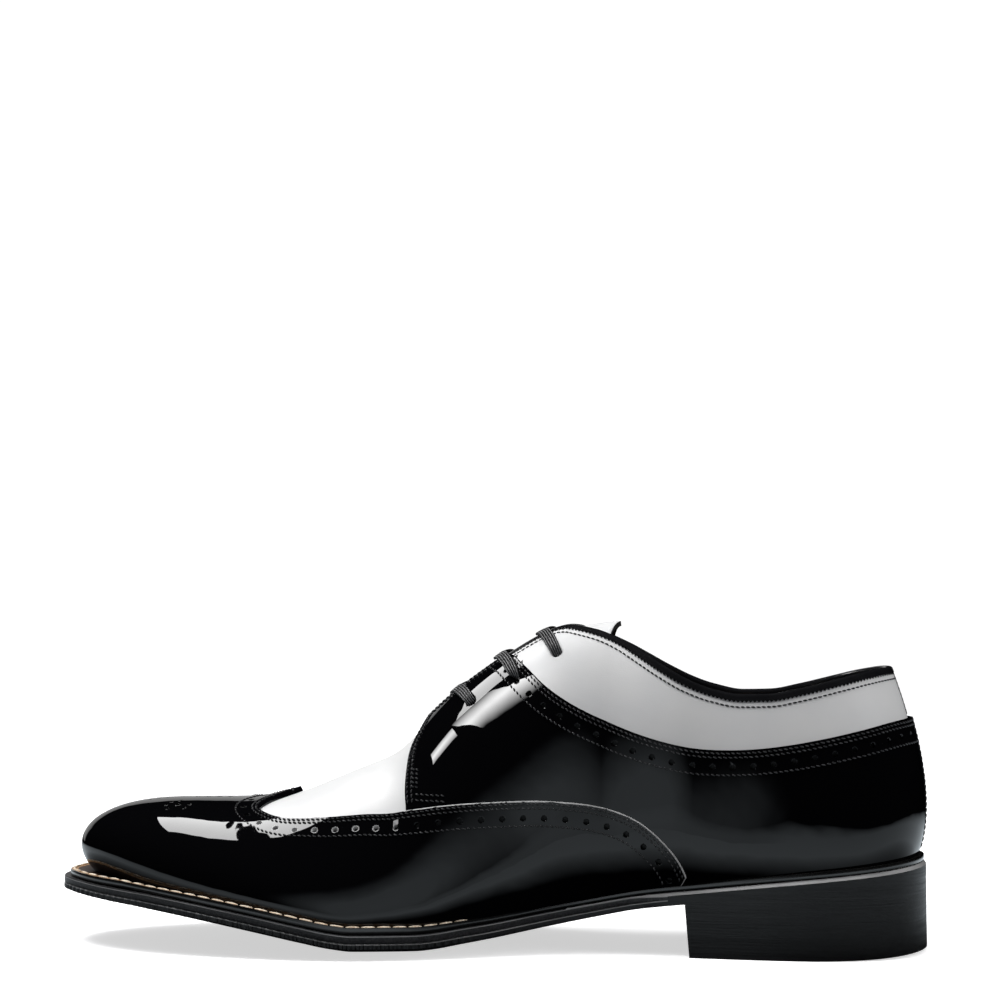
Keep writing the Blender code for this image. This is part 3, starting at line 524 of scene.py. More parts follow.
# thread and lace: mottled tone and a fine bump, both from noise
def cordFibre(name, low, high, rough):
    made, tree, shader = blank(name, high, rough)
    vector = objectCoords(tree)
    tone = ramp(tree, noise(tree, vector, 1400.0, 2.0), 0.35, 0.65, (low, high))
    tree.links.new(tone, shader.inputs["Base Color"])
    strands = bump(tree, noise(tree, vector, 2600.0, 1.0), 0.3, 0.0001)
    tree.links.new(strands, shader.inputs["Normal"])
    return made


# stacked heel: fine level streaks and faint lift lines, waxed over
def heelStack():
    made, tree, shader = blank("heelStack", (0.012, 0.012, 0.013), 0.38)
    streaks = noise(tree, objectCoords(tree, (40.0, 40.0, 1900.0)), 1.0, 4.0, 0.65)
    tone = ramp(tree, streaks, 0.35, 0.8, ((0.002, 0.002, 0.002), (0.01, 0.01, 0.011)))
    tree.links.new(tone, shader.inputs["Base Color"])
    sheen = ramp(tree, streaks, 0.3, 0.7, (grey(0.3), grey(0.5)))
    tree.links.new(sheen, shader.inputs["Roughness"])
    lifts = tree.nodes.new("ShaderNodeTexWave")
    lifts.bands_direction = "Z"
    lifts.inputs["Scale"].default_value = 0.31
    lifts.inputs["Distortion"].default_value = 0.4
    tree.links.new(objectCoords(tree, (2.0, 2.0, 200.0)), lifts.inputs["Vector"])
    fine = bump(tree, streaks, 0.25, 0.0003)
    steps = bump(tree, lifts.outputs["Fac"], 0.06, 0.0004, fine)
    tree.links.new(steps, shader.inputs["Normal"])
    return made


def soleRubber(name, low, high, rough):
    made, tree, shader = blank(name, high, rough)
    vector = objectCoords(tree)
    speck = noise(tree, vector, 1500.0, 3.0)
    tone = ramp(tree, speck, 0.35, 0.7, (low, high))
    tree.links.new(tone, shader.inputs["Base Color"])
    tree.links.new(bump(tree, speck, 0.35, 0.0003), shader.inputs["Normal"])
    return made


patent = patentLeather()
white = whiteLeather()
lining = plainLeather("liningLeather", (0.016, 0.015, 0.015), (0.026, 0.025, 0.024), 0.55)
backing = plainLeather("backingLeather", (0.004, 0.004, 0.004), (0.008, 0.008, 0.008), 0.6)
rolled = plainLeather("rolledEdge", (0.005, 0.005, 0.006), (0.01, 0.01, 0.011), 0.25, 1300.0, 1.0)
tan = plainLeather("insoleLeather", (0.42, 0.27, 0.15), (0.52, 0.35, 0.2), 0.5)
weltTop = weltLeather()
weltEdge = plainLeather("weltEdge", (0.003, 0.003, 0.003), (0.008, 0.008, 0.008), 0.22, 800.0, 0.6)
blackThread = cordFibre("blackThread", (0.012, 0.012, 0.013), (0.05, 0.05, 0.052), 0.26)
paleThread = cordFibre("paleThread", (0.55, 0.42, 0.3), (0.85, 0.76, 0.62), 0.55)
# painted highlight: the lace's rib crests are painted light grey over its black
laceRibHighlight = cordFibre("laceRibHighlight", (0.1, 0.1, 0.103), (0.24, 0.24, 0.245), 0.4)
laceGroove = cordFibre("laceGroove", (0.002, 0.002, 0.002), (0.006, 0.006, 0.006), 0.6)
soleGrey = soleRubber("soleGrey", (0.01, 0.01, 0.011), (0.04, 0.04, 0.042), 0.45)
soleDark = soleRubber("soleDark", (0.004, 0.004, 0.004), (0.014, 0.014, 0.015), 0.45)
heelWax = heelStack()
# painted highlight: light grey for thin bright lines along the outsole's side
paintedHighlightLine = plainLeather("paintedHighlightLine", (0.14, 0.14, 0.14), (0.28, 0.28, 0.28), 0.35, 900.0, 0.3)
# painted shade: dark brown for the welt's inner band in the upper's shadow
weltPaintedShade = plainLeather("weltPaintedShade", (0.012, 0.007, 0.005), (0.035, 0.018, 0.011), 0.5)
# painted highlight: pale grey faces that stand in for bright glint lines on cut edges and on the heel seat
# ledge
paintedHighlightEdge = plainLeather("paintedHighlightEdge", (0.3, 0.3, 0.3), (0.45, 0.45, 0.45), 0.35, 900.0, 0.3)
print("materials ready:", len(bpy.data.materials))


# stations, offsets and heights become places in the row frame
def place(bm):
    bmesh.ops.recalc_face_normals(bm, faces=bm.faces)
    if bm.calc_volume(signed=True) > 0:
        bmesh.ops.reverse_faces(bm, faces=bm.faces)
    for vert, spot in zip(bm.verts, placed([vert.co for vert in bm.verts])):
        vert.co = spot
    bm.normal_update()


# a finished piece rides on the shoe and stands for its CAD nodes
def finishPiece(name, bm, materials, nodes=(), sharp=None):
    mesh = bpy.data.meshes.new(name)
    bm.to_mesh(mesh)
    bm.free()
    for one in materials:
        mesh.materials.append(one)
    mesh.shade_smooth()
    if sharp is not None:
        mesh.set_sharp_from_angle(angle=math.radians(sharp))
    made = bpy.data.objects.new(name, mesh)
    collection.objects.link(made)
    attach(made, "root")
    if nodes:
        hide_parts(*nodes)
    return made


# column and row of a vertex of a new grid
def gridSpot(vert, wide, tall):
    return int(round((vert.co.x + 0.5) * wide)), int(round((vert.co.y + 0.5) * tall))


# reach of a merge on solids and on skins, and the shortest edge kept, in millimetres
weldReach = {"solid": 0.004, "skin": 0.03, "edge": 0.002}


def weld(bm, kind):
    bmesh.ops.remove_doubles(bm, verts=bm.verts, dist=weldReach[kind])
    bmesh.ops.dissolve_degenerate(bm, edges=bm.edges, dist=weldReach["edge"])


# grid whose corners are placed on an array of points, in millimetres
def gridOn(points, materialRows=None):
    wide, tall = points.shape[0] - 1, points.shape[1] - 1
    bm = bmesh.new()
    bmesh.ops.create_grid(bm, x_segments=wide, y_segments=tall, size=0.5)
    if materialRows is not None:
        for face in bm.faces:
            row = int((face.calc_center_median().y + 0.5) * tall)
            face.material_index = materialRows[min(row, tall - 1)]
    for vert in bm.verts:
        vert.co = points[gridSpot(vert, wide, tall)]
    weld(bm, "solid")
    return bm


# close the open ends of a tube and finish it
def tubePiece(name, bm, materials, nodes=(), sharp=None):
    rims = [edge for edge in bm.edges if edge.is_boundary]
    bmesh.ops.triangulate(bm, faces=bmesh.ops.holes_fill(bm, edges=rims, sides=0)["faces"])
    place(bm)
    return finishPiece(name, bm, materials, nodes, sharp)


# leather skins carry their outward direction and height above the last at every vertex
def skinLayers(bm):
    return bm.verts.layers.float_vector.new("facing"), bm.verts.layers.float.new("height")


# skin on a grid of marks and shares
def gridSkin(marks, shares, lift):
    wide, tall = marks.shape[0] - 1, marks.shape[1] - 1
    normals = lastNormal(marks, shares)
    points = lastPoint(marks, shares) + normals * lift[..., None]
    bm = bmesh.new()
    bmesh.ops.create_grid(bm, x_segments=wide, y_segments=tall, size=0.5)
    facing, height = skinLayers(bm)
    for vert in bm.verts:
        spot = gridSpot(vert, wide, tall)
        vert.co = points[spot]
        vert[facing] = normals[spot]
        vert[height] = lift[spot]
    return bm


pattern = {
    "columnPitch": 1 / 16, "rowPitch": 1 / 52, "cutReach": 1e-4, "hemGap": 0.004, "poleReach": 0.9,
    # widths of the soft border's rings, and their height within it
    "borders": ((0.35, 0.62), (0.55, 1.0)),
}


# the pattern's column marks between two marks
def columnsBetween(start, stop):
    pitch = pattern["columnPitch"]
    return np.arange(math.ceil(start / pitch) * pitch, stop, pitch)


# flat pattern cut to an outline, with a soft border and a lattice of cuts
def flatPattern(outline, hardEdge):
    bm = bmesh.new()
    bmesh.ops.create_circle(bm, cap_ends=True, segments=len(outline), radius=1.0)
    inner = bm.verts.layers.float.new("inner")
    for vert, spot in zip(list(bm.verts), outline * patternScale):
        vert.co = (spot[0], spot[1], 0.0)
    heart = bm.faces[:]
    for width, level in pattern["borders"]:
        known = set(bm.verts)
        bmesh.ops.inset_region(bm, faces=heart, thickness=width, use_boundary=True,
                               use_even_offset=False)
        for vert in set(bm.verts) - known:
            vert[inner] = level
    for vert in bm.verts:
        if hardEdge(vert.co.x / patternScale[0], vert.co.y / patternScale[1]):
            vert[inner] = 1.0
    low, high = outline.min(0), outline.max(0)
    cuts = [((x * patternScale[0], 0, 0), (1, 0, 0)) for x in columnsBetween(low[0], high[0])]
    cuts += [((0, y * patternScale[1], 0), (0, 1, 0))
             for y in np.arange(pattern["rowPitch"], high[1], pattern["rowPitch"])]
    for spot, direction in cuts:
        bmesh.ops.bisect_plane(bm, geom=bm.verts[:] + bm.edges[:] + bm.faces[:],
                               dist=pattern["cutReach"], plane_co=spot, plane_no=direction)
    bmesh.ops.triangulate(bm, faces=[face for face in bm.faces if len(face.verts) > 4])
    return bm


# lay a flat pattern on the last, its border sinking towards the edge lift
def wrapPattern(bm, lift, edgeLift):
    inner = bm.verts.layers.float["inner"]
    flat = np.array([vert.co[:2] for vert in bm.verts]) / patternScale
    level = np.array([vert[inner] for vert in bm.verts])
    facing, height = skinLayers(bm)
    share = np.clip(flat[:, 1] * rimAt(flat[:, 0]), 0.0, 1.0)
    normals = lastNormal(flat[:, 0], share)
    edge = edgeLift(flat[:, 0])
    heights = edge + (lift - edge) * np.sin(level * math.pi / 2)
    points = lastPoint(flat[:, 0], share) + normals * heights[:, None]
    for vert, spot, normal, tall in zip(bm.verts, points, normals, heights):
        vert.co = spot
        vert[facing] = normal
        vert[height] = tall
    pole = Vector(lastPoint(np.array(float(sectionCount)), np.array(1.0))) + Vector((0.0, 0.0, lift))
    crowd = [vert for vert in bm.verts if (vert.co - pole).length < pattern["poleReach"]]
    if crowd:
        bmesh.ops.pointmerge(bm, verts=crowd, merge_co=pole)
    weld(bm, "skin")


# faces round a spot, gathered outwards from one vertex
def facesNear(start, centre, reach):
    found = set()
    todo = list(start.link_faces)
    while todo:
        face = todo.pop()
        if face in found or min((vert.co - centre).length for vert in face.verts) > reach:
            continue
        found.add(face)
        todo += [other for edge in face.edges for other in edge.link_faces]
    return found


# vertices tried at each hole, and reaches as shares of its radius
hole = {"tries": 60, "reach": 1.2, "inside": 0.98, "sides": 12, "smallSides": 8, "cutReach": 1e-3}


# round holes, each cut out by a ring of planes
def punch(bm, spots, lift, radius, sides=hole["sides"]):
    owners = bm.verts[:]
    tree = kdtree.KDTree(len(owners))
    for k, vert in enumerate(owners):
        tree.insert(vert.co, k)
    tree.balance()
    for mark, share in spots:
        facing = Vector(lastNormal(np.array(mark), np.array(share)))
        centre = Vector(lastPoint(np.array(mark), np.array(share))) + facing * lift
        first = facing.orthogonal().normalized()
        second = facing.cross(first)
        near = next(owners[k] for _, k, _ in tree.find_n(centre, hole["tries"]) if owners[k].is_valid)
        faces = facesNear(near, centre, radius * hole["reach"])
        geom = list(faces | {edge for face in faces for edge in face.edges}
                    | {vert for face in faces for vert in face.verts})
        for k in range(sides):
            turn = 2 * math.pi * k / sides
            away = first * math.cos(turn) + second * math.sin(turn)
            cut = bmesh.ops.bisect_plane(bm, geom=geom, dist=hole["cutReach"],
                                         plane_co=centre + away * radius, plane_no=away)
            geom = list(set(cut["geom"]) | {item for item in geom if item.is_valid})
        inside = []
        for face in {item for item in geom if isinstance(item, bmesh.types.BMFace)}:
            reach = face.calc_center_median() - centre
            reach -= facing * reach.dot(facing)
            if reach.length < radius * hole["inside"]:
                inside.append(face)
        bmesh.ops.delete(bm, geom=inside, context="FACES")


# turn an open skin so that its faces look the way of its facing layer
def faceOut(bm):
    facing = bm.verts.layers.float_vector["facing"]
    bmesh.ops.recalc_face_normals(bm, faces=bm.faces)
    bm.normal_update()
    votes = sum(face.normal.dot(face.verts[0][facing]) for face in bm.faces)
    if votes < 0:
        bmesh.ops.reverse_faces(bm, faces=bm.faces)
        bm.normal_update()


# give a skin its wall, with normals that follow the last and round over the cut edges
def leatherPiece(name, bm, innerLift, materials, nodes=(), tilt=0.9, wallMaterial=0,
                 glint=(0.0, 0.0)):
    facing = bm.verts.layers.float_vector["facing"]
    height = bm.verts.layers.float["height"]
    faceOut(bm)
    away = {}
    for edge in bm.edges:
        if edge.is_boundary:
            face = edge.link_faces[0]
            loop = next(loop for loop in face.loops if loop.edge == edge)
            run = loop.link_loop_next.vert.co - loop.vert.co
            for vert in edge.verts:
                away[vert] = away.get(vert, Vector()) + run.cross(face.normal).normalized()
    made = bmesh.ops.extrude_face_region(bm, geom=bm.faces[:], use_keep_orig=True)["geom"]
    copies = {item for item in made if isinstance(item, bmesh.types.BMVert)}
    for vert in copies:
        vert.co -= Vector(vert[facing]).normalized() * (vert[height] - innerLift)
    place(bm)
    turned = Vector((-1.0, 1.0, 1.0))
    normals = []
    # wall and border faces of an edge lifted within the glint range get material 2, a painted highlight
    for face in bm.faces:
        held = sum(vert in copies for vert in face.verts)
        if held == len(face.verts):
            face.material_index = min(1, len(materials) - 1)
        elif held:
            tallest = max(vert[height] for vert in face.verts)
            shining = glint[0] < tallest < glint[1]
            face.material_index = 2 if shining else max(face.material_index, wallMaterial)
        elif any(vert in away and glint[0] < vert[height] < glint[1] for vert in face.verts):
            face.material_index = 2
        for loop in face.loops:
            vert = loop.vert
            out = Vector(vert[facing]).normalized() * turned
            if vert in away:
                out = (out + away[vert].normalized() * turned * tilt).normalized()
            if held == len(face.verts):
                out = -out
            elif held and vert not in away:
                out = face.normal.copy()
            normals.append(out)
    made = finishPiece(name, bm, materials, nodes)
    made.data.normals_split_custom_set(normals)
    return made


# panel edges on the medial side by station and height; the lateral side mirrors them
def panelLine(table, count):
    return through([onLast(*row) for row in table], count)


def smoothStep(value, low, high):
    t = np.clip((np.asarray(value, float) - low) / (high - low), 0.0, 1.0)
    return t * t * (3 - 2 * t)


def insideOutline(points, outline):
    x, y = points[:, :1], points[:, 1:]
    ahead = np.roll(outline, -1, 0)
    cross = (outline[:, 1] > y) != (ahead[:, 1] > y)
    rise = np.where(ahead[:, 1] == outline[:, 1], 1.0, ahead[:, 1] - outline[:, 1])
    meet = outline[:, 0] + (y - outline[:, 1]) / rise * (ahead[:, 0] - outline[:, 0])
    return (cross & (x < meet)).sum(1) % 2 == 1


def clearOf(points, line, distance):
    gaps = (points[:, None, :] - line[None, ::4, :]) * patternScale
    return np.linalg.norm(gaps, axis=2).min(1) > distance


wing = {
    "edge": (
        (234.7, 47.8), (230.8, 46.1), (226.7, 45.3), (217.5, 45.3), (205.3, 46.3), (193.1, 47.6),
        (180.7, 49.1), (173.1, 50.5), (164.6, 51.8), (153.4, 52.8), (141.8, 53.5), (132.7, 53.7),
        (124.5, 53.3), (116.0, 52.4), (107.2, 50.2), (98.5, 46.2), (91.1, 40.0), (85.6, 33.2),
        (83.2, 28.2)),
    "peak": ((222.2, 0.0), (226.5, -3.0), (230.6, -7.0), (233.6, -12.0)),
    "lift": 2.05, "edgeLift": 1.1, "overQuarter": 1.85, "hem": 0.3, "innerLift": 0.05,
    "glint": (1.7, 1.95), "edgePoints": 260, "ridgeShare": 0.998, "stitchRows": (1.2, 2.6, 8.6),
    "holeRow": 5.9, "holePitch": 7.3, "holeRadius": 1.0, "vampSteps": (-0.1, 0.25), "peakClear": 0.06,
}
quarter = {
    "facing": (
        (180.3, 51.3), (181.0, 56.0), (181.1, 60.8), (180.9, 65.6), (180.1, 70.2), (177.5, 75.8)),
    "collar": (
        (141.7, 100.4), (134.1, 94.1), (125.3, 88.0), (117.8, 84.0), (104.5, 78.3), (90.5, 74.0),
        (78.8, 71.9), (64.9, 71.6), (51.3, 72.9), (37.9, 75.2), (24.6, 78.0), (11.1, 80.9),
        (5.6, 81.6)),
    "collarStart": 146.5, "seam": 0.006, "lift": 1.55, "edgeLift": 0.85, "innerLift": 0.05,
    "underWing": 2.5, "collarRows": (1.2, 2.6, 8.6), "facingRows": (1.1, 2.8), "holeRow": 5.9,
    "holePitch": 7.0, "holeRadius": 1.0, "holeStart": 1.2,
    "facingPoints": 60, "rimPoints": 50, "collarPoints": 220,
    # in section numbers: gaps at the rim, the tail and the hem's end
    "rimGap": 0.05, "tailReach": 0.3, "hemEnd": 0.02,
}
stitch = {
    "pitch": 1.8, "length": 0.86, "width": 0.34, "height": 0.32, "lift": 0.02, "slant": 18.0,
    "sides": (6, 4),
}


def hemAt(mark):
    return wing["hem"] / (3.0 * sectionsAt(mark)[..., 4]) / rimAt(mark)


# the part of a pattern line that stays clear of the hem
def aboveHem(line):
    return line[line[:, 1] > hemAt(line[:, 0]) + pattern["hemGap"]]


wingPeak = [across(*spot) for spot in wing["peak"]]
wingLine = through(wingPeak + [onLast(*row) for row in wing["edge"]], wing["edgePoints"])
wingLine[0] = wingPeak[0]
wingLine = np.concatenate([wingLine[:1], wingLine[wingLine[:, 1] < wing["ridgeShare"]]])
wingPattern = aboveHem(toPattern(wingLine))
wingTail = wingPattern[-1, 0]
hemMarks = columnsBetween(wingTail, loopLength - wingTail)
hemLine = np.stack([hemMarks, hemAt(hemMarks)], -1)
ridgeMarks = columnsBetween(wingPeak[0][0], loopLength - wingPeak[0][0])
ridgeLine = np.stack([ridgeMarks, np.ones(len(ridgeMarks))], -1)[::-1]
wingOutline = np.concatenate([hemLine, mirrored(wingPattern), ridgeLine[1:-1], wingPattern])

facingLine = panelLine(quarter["facing"], quarter["facingPoints"])
facingTop = facingLine[-1, 0]
collarStart = crestMark(quarter["collarStart"])
rimRun = np.linspace(facingTop - quarter["rimGap"], collarStart, quarter["rimPoints"])
rimRun = np.stack([rimRun, rimAt(rimRun)], -1)
collarLine = panelLine(quarter["collar"], quarter["collarPoints"])
collarLine = np.concatenate([rimRun[-1:], collarLine])
collarLine[-1, 0] = quarter["seam"]
underWing = offsetLine(wingLine, quarter["underWing"])
pastTail = underWing[:, 0] > wingTail - quarter["tailReach"]
underWing = underWing[(underWing[:, 0] < facingLine[0, 0]) & pastTail][::-1]
underPattern = aboveHem(toPattern(underWing))
quarterHem = np.arange(quarter["seam"], underPattern[0, 0] - quarter["hemEnd"], pattern["columnPitch"])
quarterHem = np.stack([quarterHem, hemAt(quarterHem)], -1)
quarterOutline = np.concatenate([
    toPattern(facingLine), toPattern(rimRun), toPattern(collarLine)[1:], quarterHem, underPattern])
print("panel edges ready: wing tail at section", round(float(wingTail), 2))

# crest station, eyelet station, eyelet's distance from the ridge, rise over the facing
laceBars = {
    "low": (166.2, 158.6, 17.1, 1.9), "mid": (150.6, 142.2, 17.9, 1.9),
    "top": (136.0, 127.0, 18.1, 0.9),
}
eyeletRadius = 1.95
eyeletSpots = [across(row[1], side * row[2]) for row in laceBars.values() for side in (-1, 1)]

# upper: white outside, dark lining, black wherever patent covers it
upperShell = {"columnsPerSection": 12, "rows": 50, "coverMargin": 2.6, "edgeTilt": 0.5}
columnMarks = np.linspace(0.0, loopLength, loopLength * upperShell["columnsPerSection"] + 1)
rowShares = np.linspace(0.0, 1.0, upperShell["rows"] + 1)
marks = np.repeat(columnMarks[:, None], len(rowShares), 1)
shares = rimAt(columnMarks)[:, None] * rowShares[None, :]
shell = gridSkin(marks, shares, np.zeros(marks.shape))
shellMark = shell.verts.layers.float_vector.new("pattern")
shellSpots = np.stack([marks, np.broadcast_to(rowShares, marks.shape)], -1).transpose(1, 0, 2)
for vert, spot in zip(shell.verts, shellSpots.reshape(-1, 2)):
    vert[shellMark] = (spot[0], spot[1], 0.0)
centres = np.array([np.mean([vert[shellMark][:2] for vert in face.verts], axis=0)
                    for face in shell.faces])


def coveredBy(outline, *edges):
    inside = insideOutline(centres, outline)
    for line in edges:
        inside &= clearOf(centres, line, upperShell["coverMargin"])
    return inside


quarterEdges = (toPattern(collarLine), toPattern(facingLine))
covered = coveredBy(wingOutline, wingPattern, mirrored(wingPattern))
covered |= coveredBy(quarterOutline, *quarterEdges)
covered |= coveredBy(mirrored(quarterOutline), *[mirrored(line) for line in quarterEdges])
for face, dark in zip(shell.faces, covered):
    face.material_index = 2 if dark else 0
weld(shell, "skin")
punch(shell, eyeletSpots, 0.0, eyeletRadius)
leatherPiece("upperLeather", shell, -last["wall"], (white, lining, backing),
             ("upper",), upperShell["edgeTilt"])
print("upper ready")

# wing tip with its row of holes and the toe's pinholes
medallion = {
    # station, distance from the toe's middle, ring radius, holes in the ring
    "rosettes": ((274.0, 0.0, 3.8, 7), (264.5, 12.0, 4.2, 8), (264.5, -12.0, 4.2, 8)),
    "tail": (260.0, 256.0, 252.0, 248.0), "middle": -3.2, "large": 0.85, "small": 0.55,
    "markRange": (8.5, 17.5), "shareRange": (0.45, 1.0),
}


def wingEdgeLift(mark):
    folded = np.minimum(mark, loopLength - mark)
    low, high = [facingLine[0, 0] + step for step in wing["vampSteps"]]
    onVamp = smoothStep(folded, low, high)
    return wing["overQuarter"] + (wing["edgeLift"] - wing["overQuarter"]) * onVamp


def ridgeZone(mark, share):
    inner = wingPeak[0][0] + wing["peakClear"]
    return share > 1.0 - 1.0 / patternScale[1] and inner < mark < loopLength - inner


wingSkin = flatPattern(wingOutline, ridgeZone)
wrapPattern(wingSkin, wing["lift"], wingEdgeLift)
wingHoles = spaced(offsetLine(wingLine, wing["holeRow"]), wing["holePitch"])
wingHoles = np.concatenate([wingHoles, mirrored(wingHoles)])
punch(wingSkin, wingHoles, wing["lift"], wing["holeRadius"])
large = [row[:2] for row in medallion["rosettes"]] + [(station, 0.0) for station in medallion["tail"]]
small = []
for station, side, ring, count in medallion["rosettes"]:
    for turn in np.arange(count) * 2 * math.pi / count:
        small.append((station + ring * math.cos(turn), side + ring * math.sin(turn)))
for spots, radius in ((large, medallion["large"]), (small, medallion["small"])):
    toeSpots = [onLast(station, side + medallion["middle"], (0, 1), medallion["markRange"],
                       medallion["shareRange"]) for station, side in spots]
    punch(wingSkin, toeSpots, wing["lift"], radius, hole["smallSides"])
leatherPiece("wingTip", wingSkin, wing["innerLift"], (patent, backing, paintedHighlightEdge),
             ("wing_tip",), glint=wing["glint"])
print("wing tip ready")


# quarters, each with its row of holes along the collar
def quarterEdgeLift(mark):
    return np.full(np.shape(mark), quarter["edgeLift"])


quarterHoles = spaced(offsetLine(collarLine, quarter["holeRow"]), quarter["holePitch"],
                      quarter["holeStart"])
for name, outline, turned in (("Medial", quarterOutline, False),
                              ("Lateral", mirrored(quarterOutline), True)):
    skin = flatPattern(outline, lambda mark, share: False)
    wrapPattern(skin, quarter["lift"], quarterEdgeLift)
    punch(skin, mirrored(quarterHoles) if turned else quarterHoles, quarter["lift"],
          quarter["holeRadius"])
    side = 1 if turned else -1
    punch(skin, [across(laceBars[bar][1], side * laceBars[bar][2]) for bar in ("low", "mid")],
          quarter["lift"], eyeletRadius)
    leatherPiece("quarter" + name, skin, quarter["innerLift"], (patent,),
                 ("quarter_lateral" if turned else "quarter_medial",))
print("quarters ready")


# rolled binding along the topline with a pinked lower edge
def rimFrame(edgeMarks):
    rims = rimAt(edgeMarks)
    edge = lastPoint(edgeMarks, rims)
    outward = lastNormal(edgeMarks, rims)
    rise = unit(np.cross(outward, np.gradient(edge, axis=0)))
    rise *= np.where(rise[:, 2:3] < 0, -1.0, 1.0)
    return edge, outward, rise


edgeMarks = np.linspace(-binding["from"], binding["from"], binding["columns"] + 1)
edge, outward, rise = rimFrame(edgeMarks)
half = last["wall"] / 2 + binding["swell"]
turns = np.linspace(0.0, math.pi, binding["sides"])
crown = half * binding["crown"]
profile = [(half, binding["foot"])] + [
    (half * np.sign(math.cos(t)) * abs(math.cos(t)) ** binding["squareness"],
     binding["height"] - crown + crown * math.sin(t)) for t in turns]
profile += [(-half, binding["foot"]), (half, binding["foot"])]
slices = np.stack([edge + outward * (side - last["wall"] / 2) + rise * up for side, up in profile], 1)
tubePiece("collarBinding", gridOn(slices), (rolled,), ("collar_binding",), 70)

# black strip under the binding, its lower edge cut in small teeth
edgeReach = runLength(edge)
rimMarksEven = np.interp(np.arange(0.0, edgeReach[-1], binding["toothPitch"]), edgeReach, edgeMarks)
edge, outward, rise = rimFrame(rimMarksEven)
drop = np.where(np.arange(len(edge)) % 2 == 0, binding["toothTop"], binding["toothFoot"])
outer, inner = edge + outward * binding["lift"], edge - outward * binding["stripIn"]
head, tooth = rise * binding["stripTop"], rise * drop[:, None]
strip = np.stack([outer + head, outer - tooth, inner - tooth, inner + head, outer + head], 1)
tubePiece("pinkedEdge", gridOn(strip), (rolled,), (), 30)
print("binding ready")


# flat lace: one length that crosses three times and passes through every eyelet
lace = {
    "width": 4.4, "thick": 1.3, "bend": 1.4, "ribs": 5, "ribHeight": 0.36, "plait": 1.3,
    "under": -2.45, "underInset": 2.6, "step": 0.4, "pinch": 0.86, "swell": 0.3, "strandShare": 0.2,
    "crown": 0.75, "crownPower": 6, "dip": 1.1, "dipHalf": 0.5, "ribPoints": 6, "backPoints": 8,
    "ribShine": 0.72,
    # shares of a bar's half length, and where its ends gather
    "runs": (0.9, 0.76, 0.55, 0.3, 0.0, -0.3, -0.55, -0.76, -0.9), "gatherFrom": 0.85, "gather": 0.2,
    # height in the eyelet, share of the turn made there, pinch
    "inEyelet": ((-1.95, 0.8, 1.0), (-0.6, 0.5, 1.0)),
    # on the eyelet's lip: step ahead, step in, share of the height, share of the turn, pinch
    "lip": (0.1, 0.3, 0.6, 0.12, 0.7),
}


def barKeys(bar, side, before, turn, after):
    crest, eyeletStation, reach, rise = laceBars[bar]
    over = rise + lace["thick"] / 2

    def eyeletKeys(side, turned):
        keys = [(eyeletStation, side * reach, height, turn + share * (turned - turn), pinch)
                for height, share, pinch in lace["inEyelet"]]
        ahead, inside, height, share, pinch = lace["lip"]
        keys.append((eyeletStation + ahead, side * (reach - inside), over * height,
                     turn + share * (turned - turn), pinch))
        return keys

    middle = []
    for run in lace["runs"]:
        station = crest + (eyeletStation - crest) * abs(run) ** lace["bend"]
        pinch = lace["gather"] if abs(run) > lace["gatherFrom"] else 0.0
        dip = lace["dip"] * max(0.0, 1.0 - (run / lace["dipHalf"]) ** 2)
        middle.append((station, side * run * reach, over - dip, turn, pinch))
    return eyeletKeys(side, before) + middle + eyeletKeys(-side, after)[::-1]


def underKeys(first, second, side, inset, turn):
    keys = []
    for share in (0.25, 0.5, 0.75):
        station = laceBars[first][1] + (laceBars[second][1] - laceBars[first][1]) * share
        reach = laceBars[first][2] + (laceBars[second][2] - laceBars[first][2]) * share
        keys.append((station, side * (reach - inset), lace["under"], turn, 0.0))
    return keys


# sides and quarter turns of each bar, and of each run under the facings
laceKeys = (barKeys("top", -1, 0, 0, -1) + underKeys("top", "low", 1, lace["underInset"], -1)
            + barKeys("low", 1, -1, -2, -3) + underKeys("low", "mid", -1, 0.0, -3)
            + barKeys("mid", -1, -3, -4, -3) + underKeys("mid", "top", 1, -lace["underInset"], -3))
keys = np.array(laceKeys)
flat = np.array([across(*row[:2]) for row in laceKeys])
normalKeys = lastNormal(flat[:, 0], flat[:, 1])
spots = lastPoint(flat[:, 0], flat[:, 1]) + normalKeys * keys[:, 2:3]
reach = runLength(spots)
steps = np.linspace(0.0, reach[-1], int(reach[-1] / lace["step"]))
path = np.stack([smoothTable(list(zip(reach, spots[:, k])))(steps) for k in range(3)], -1)
twist = np.interp(steps, reach, keys[:, 3])
pinch = np.interp(steps, reach, keys[:, 4])
surface = unit(np.stack([np.interp(steps, reach, normalKeys[:, k]) for k in range(3)], -1))
tangent = unit(np.gradient(path, axis=0))
laceLength = runLength(path)[-1]
lengthwise = unit(np.array([1.0, 0.0, 0.0]) - surface * surface[:, :1])
sideways = np.cross(surface, lengthwise)
turns = (twist * math.pi / 2)[:, None]
wide = lengthwise * np.cos(turns) + sideways * np.sin(turns)
wide = unit(wide - tangent * np.sum(wide * tangent, axis=1, keepdims=True))
tall = np.cross(wide, tangent)
front = np.linspace(1.0, -1.0, lace["ribs"] * lace["ribPoints"] + 1)
back = np.linspace(-1.0, 1.0, lace["backPoints"] + 1)
reachAcross = np.concatenate([front, back[1:]])
ribPlace = (front + 1) / 2 * lace["ribs"]
crown = np.sqrt(1.0 - lace["crown"] * np.abs(reachAcross) ** lace["crownPower"])
rings = []
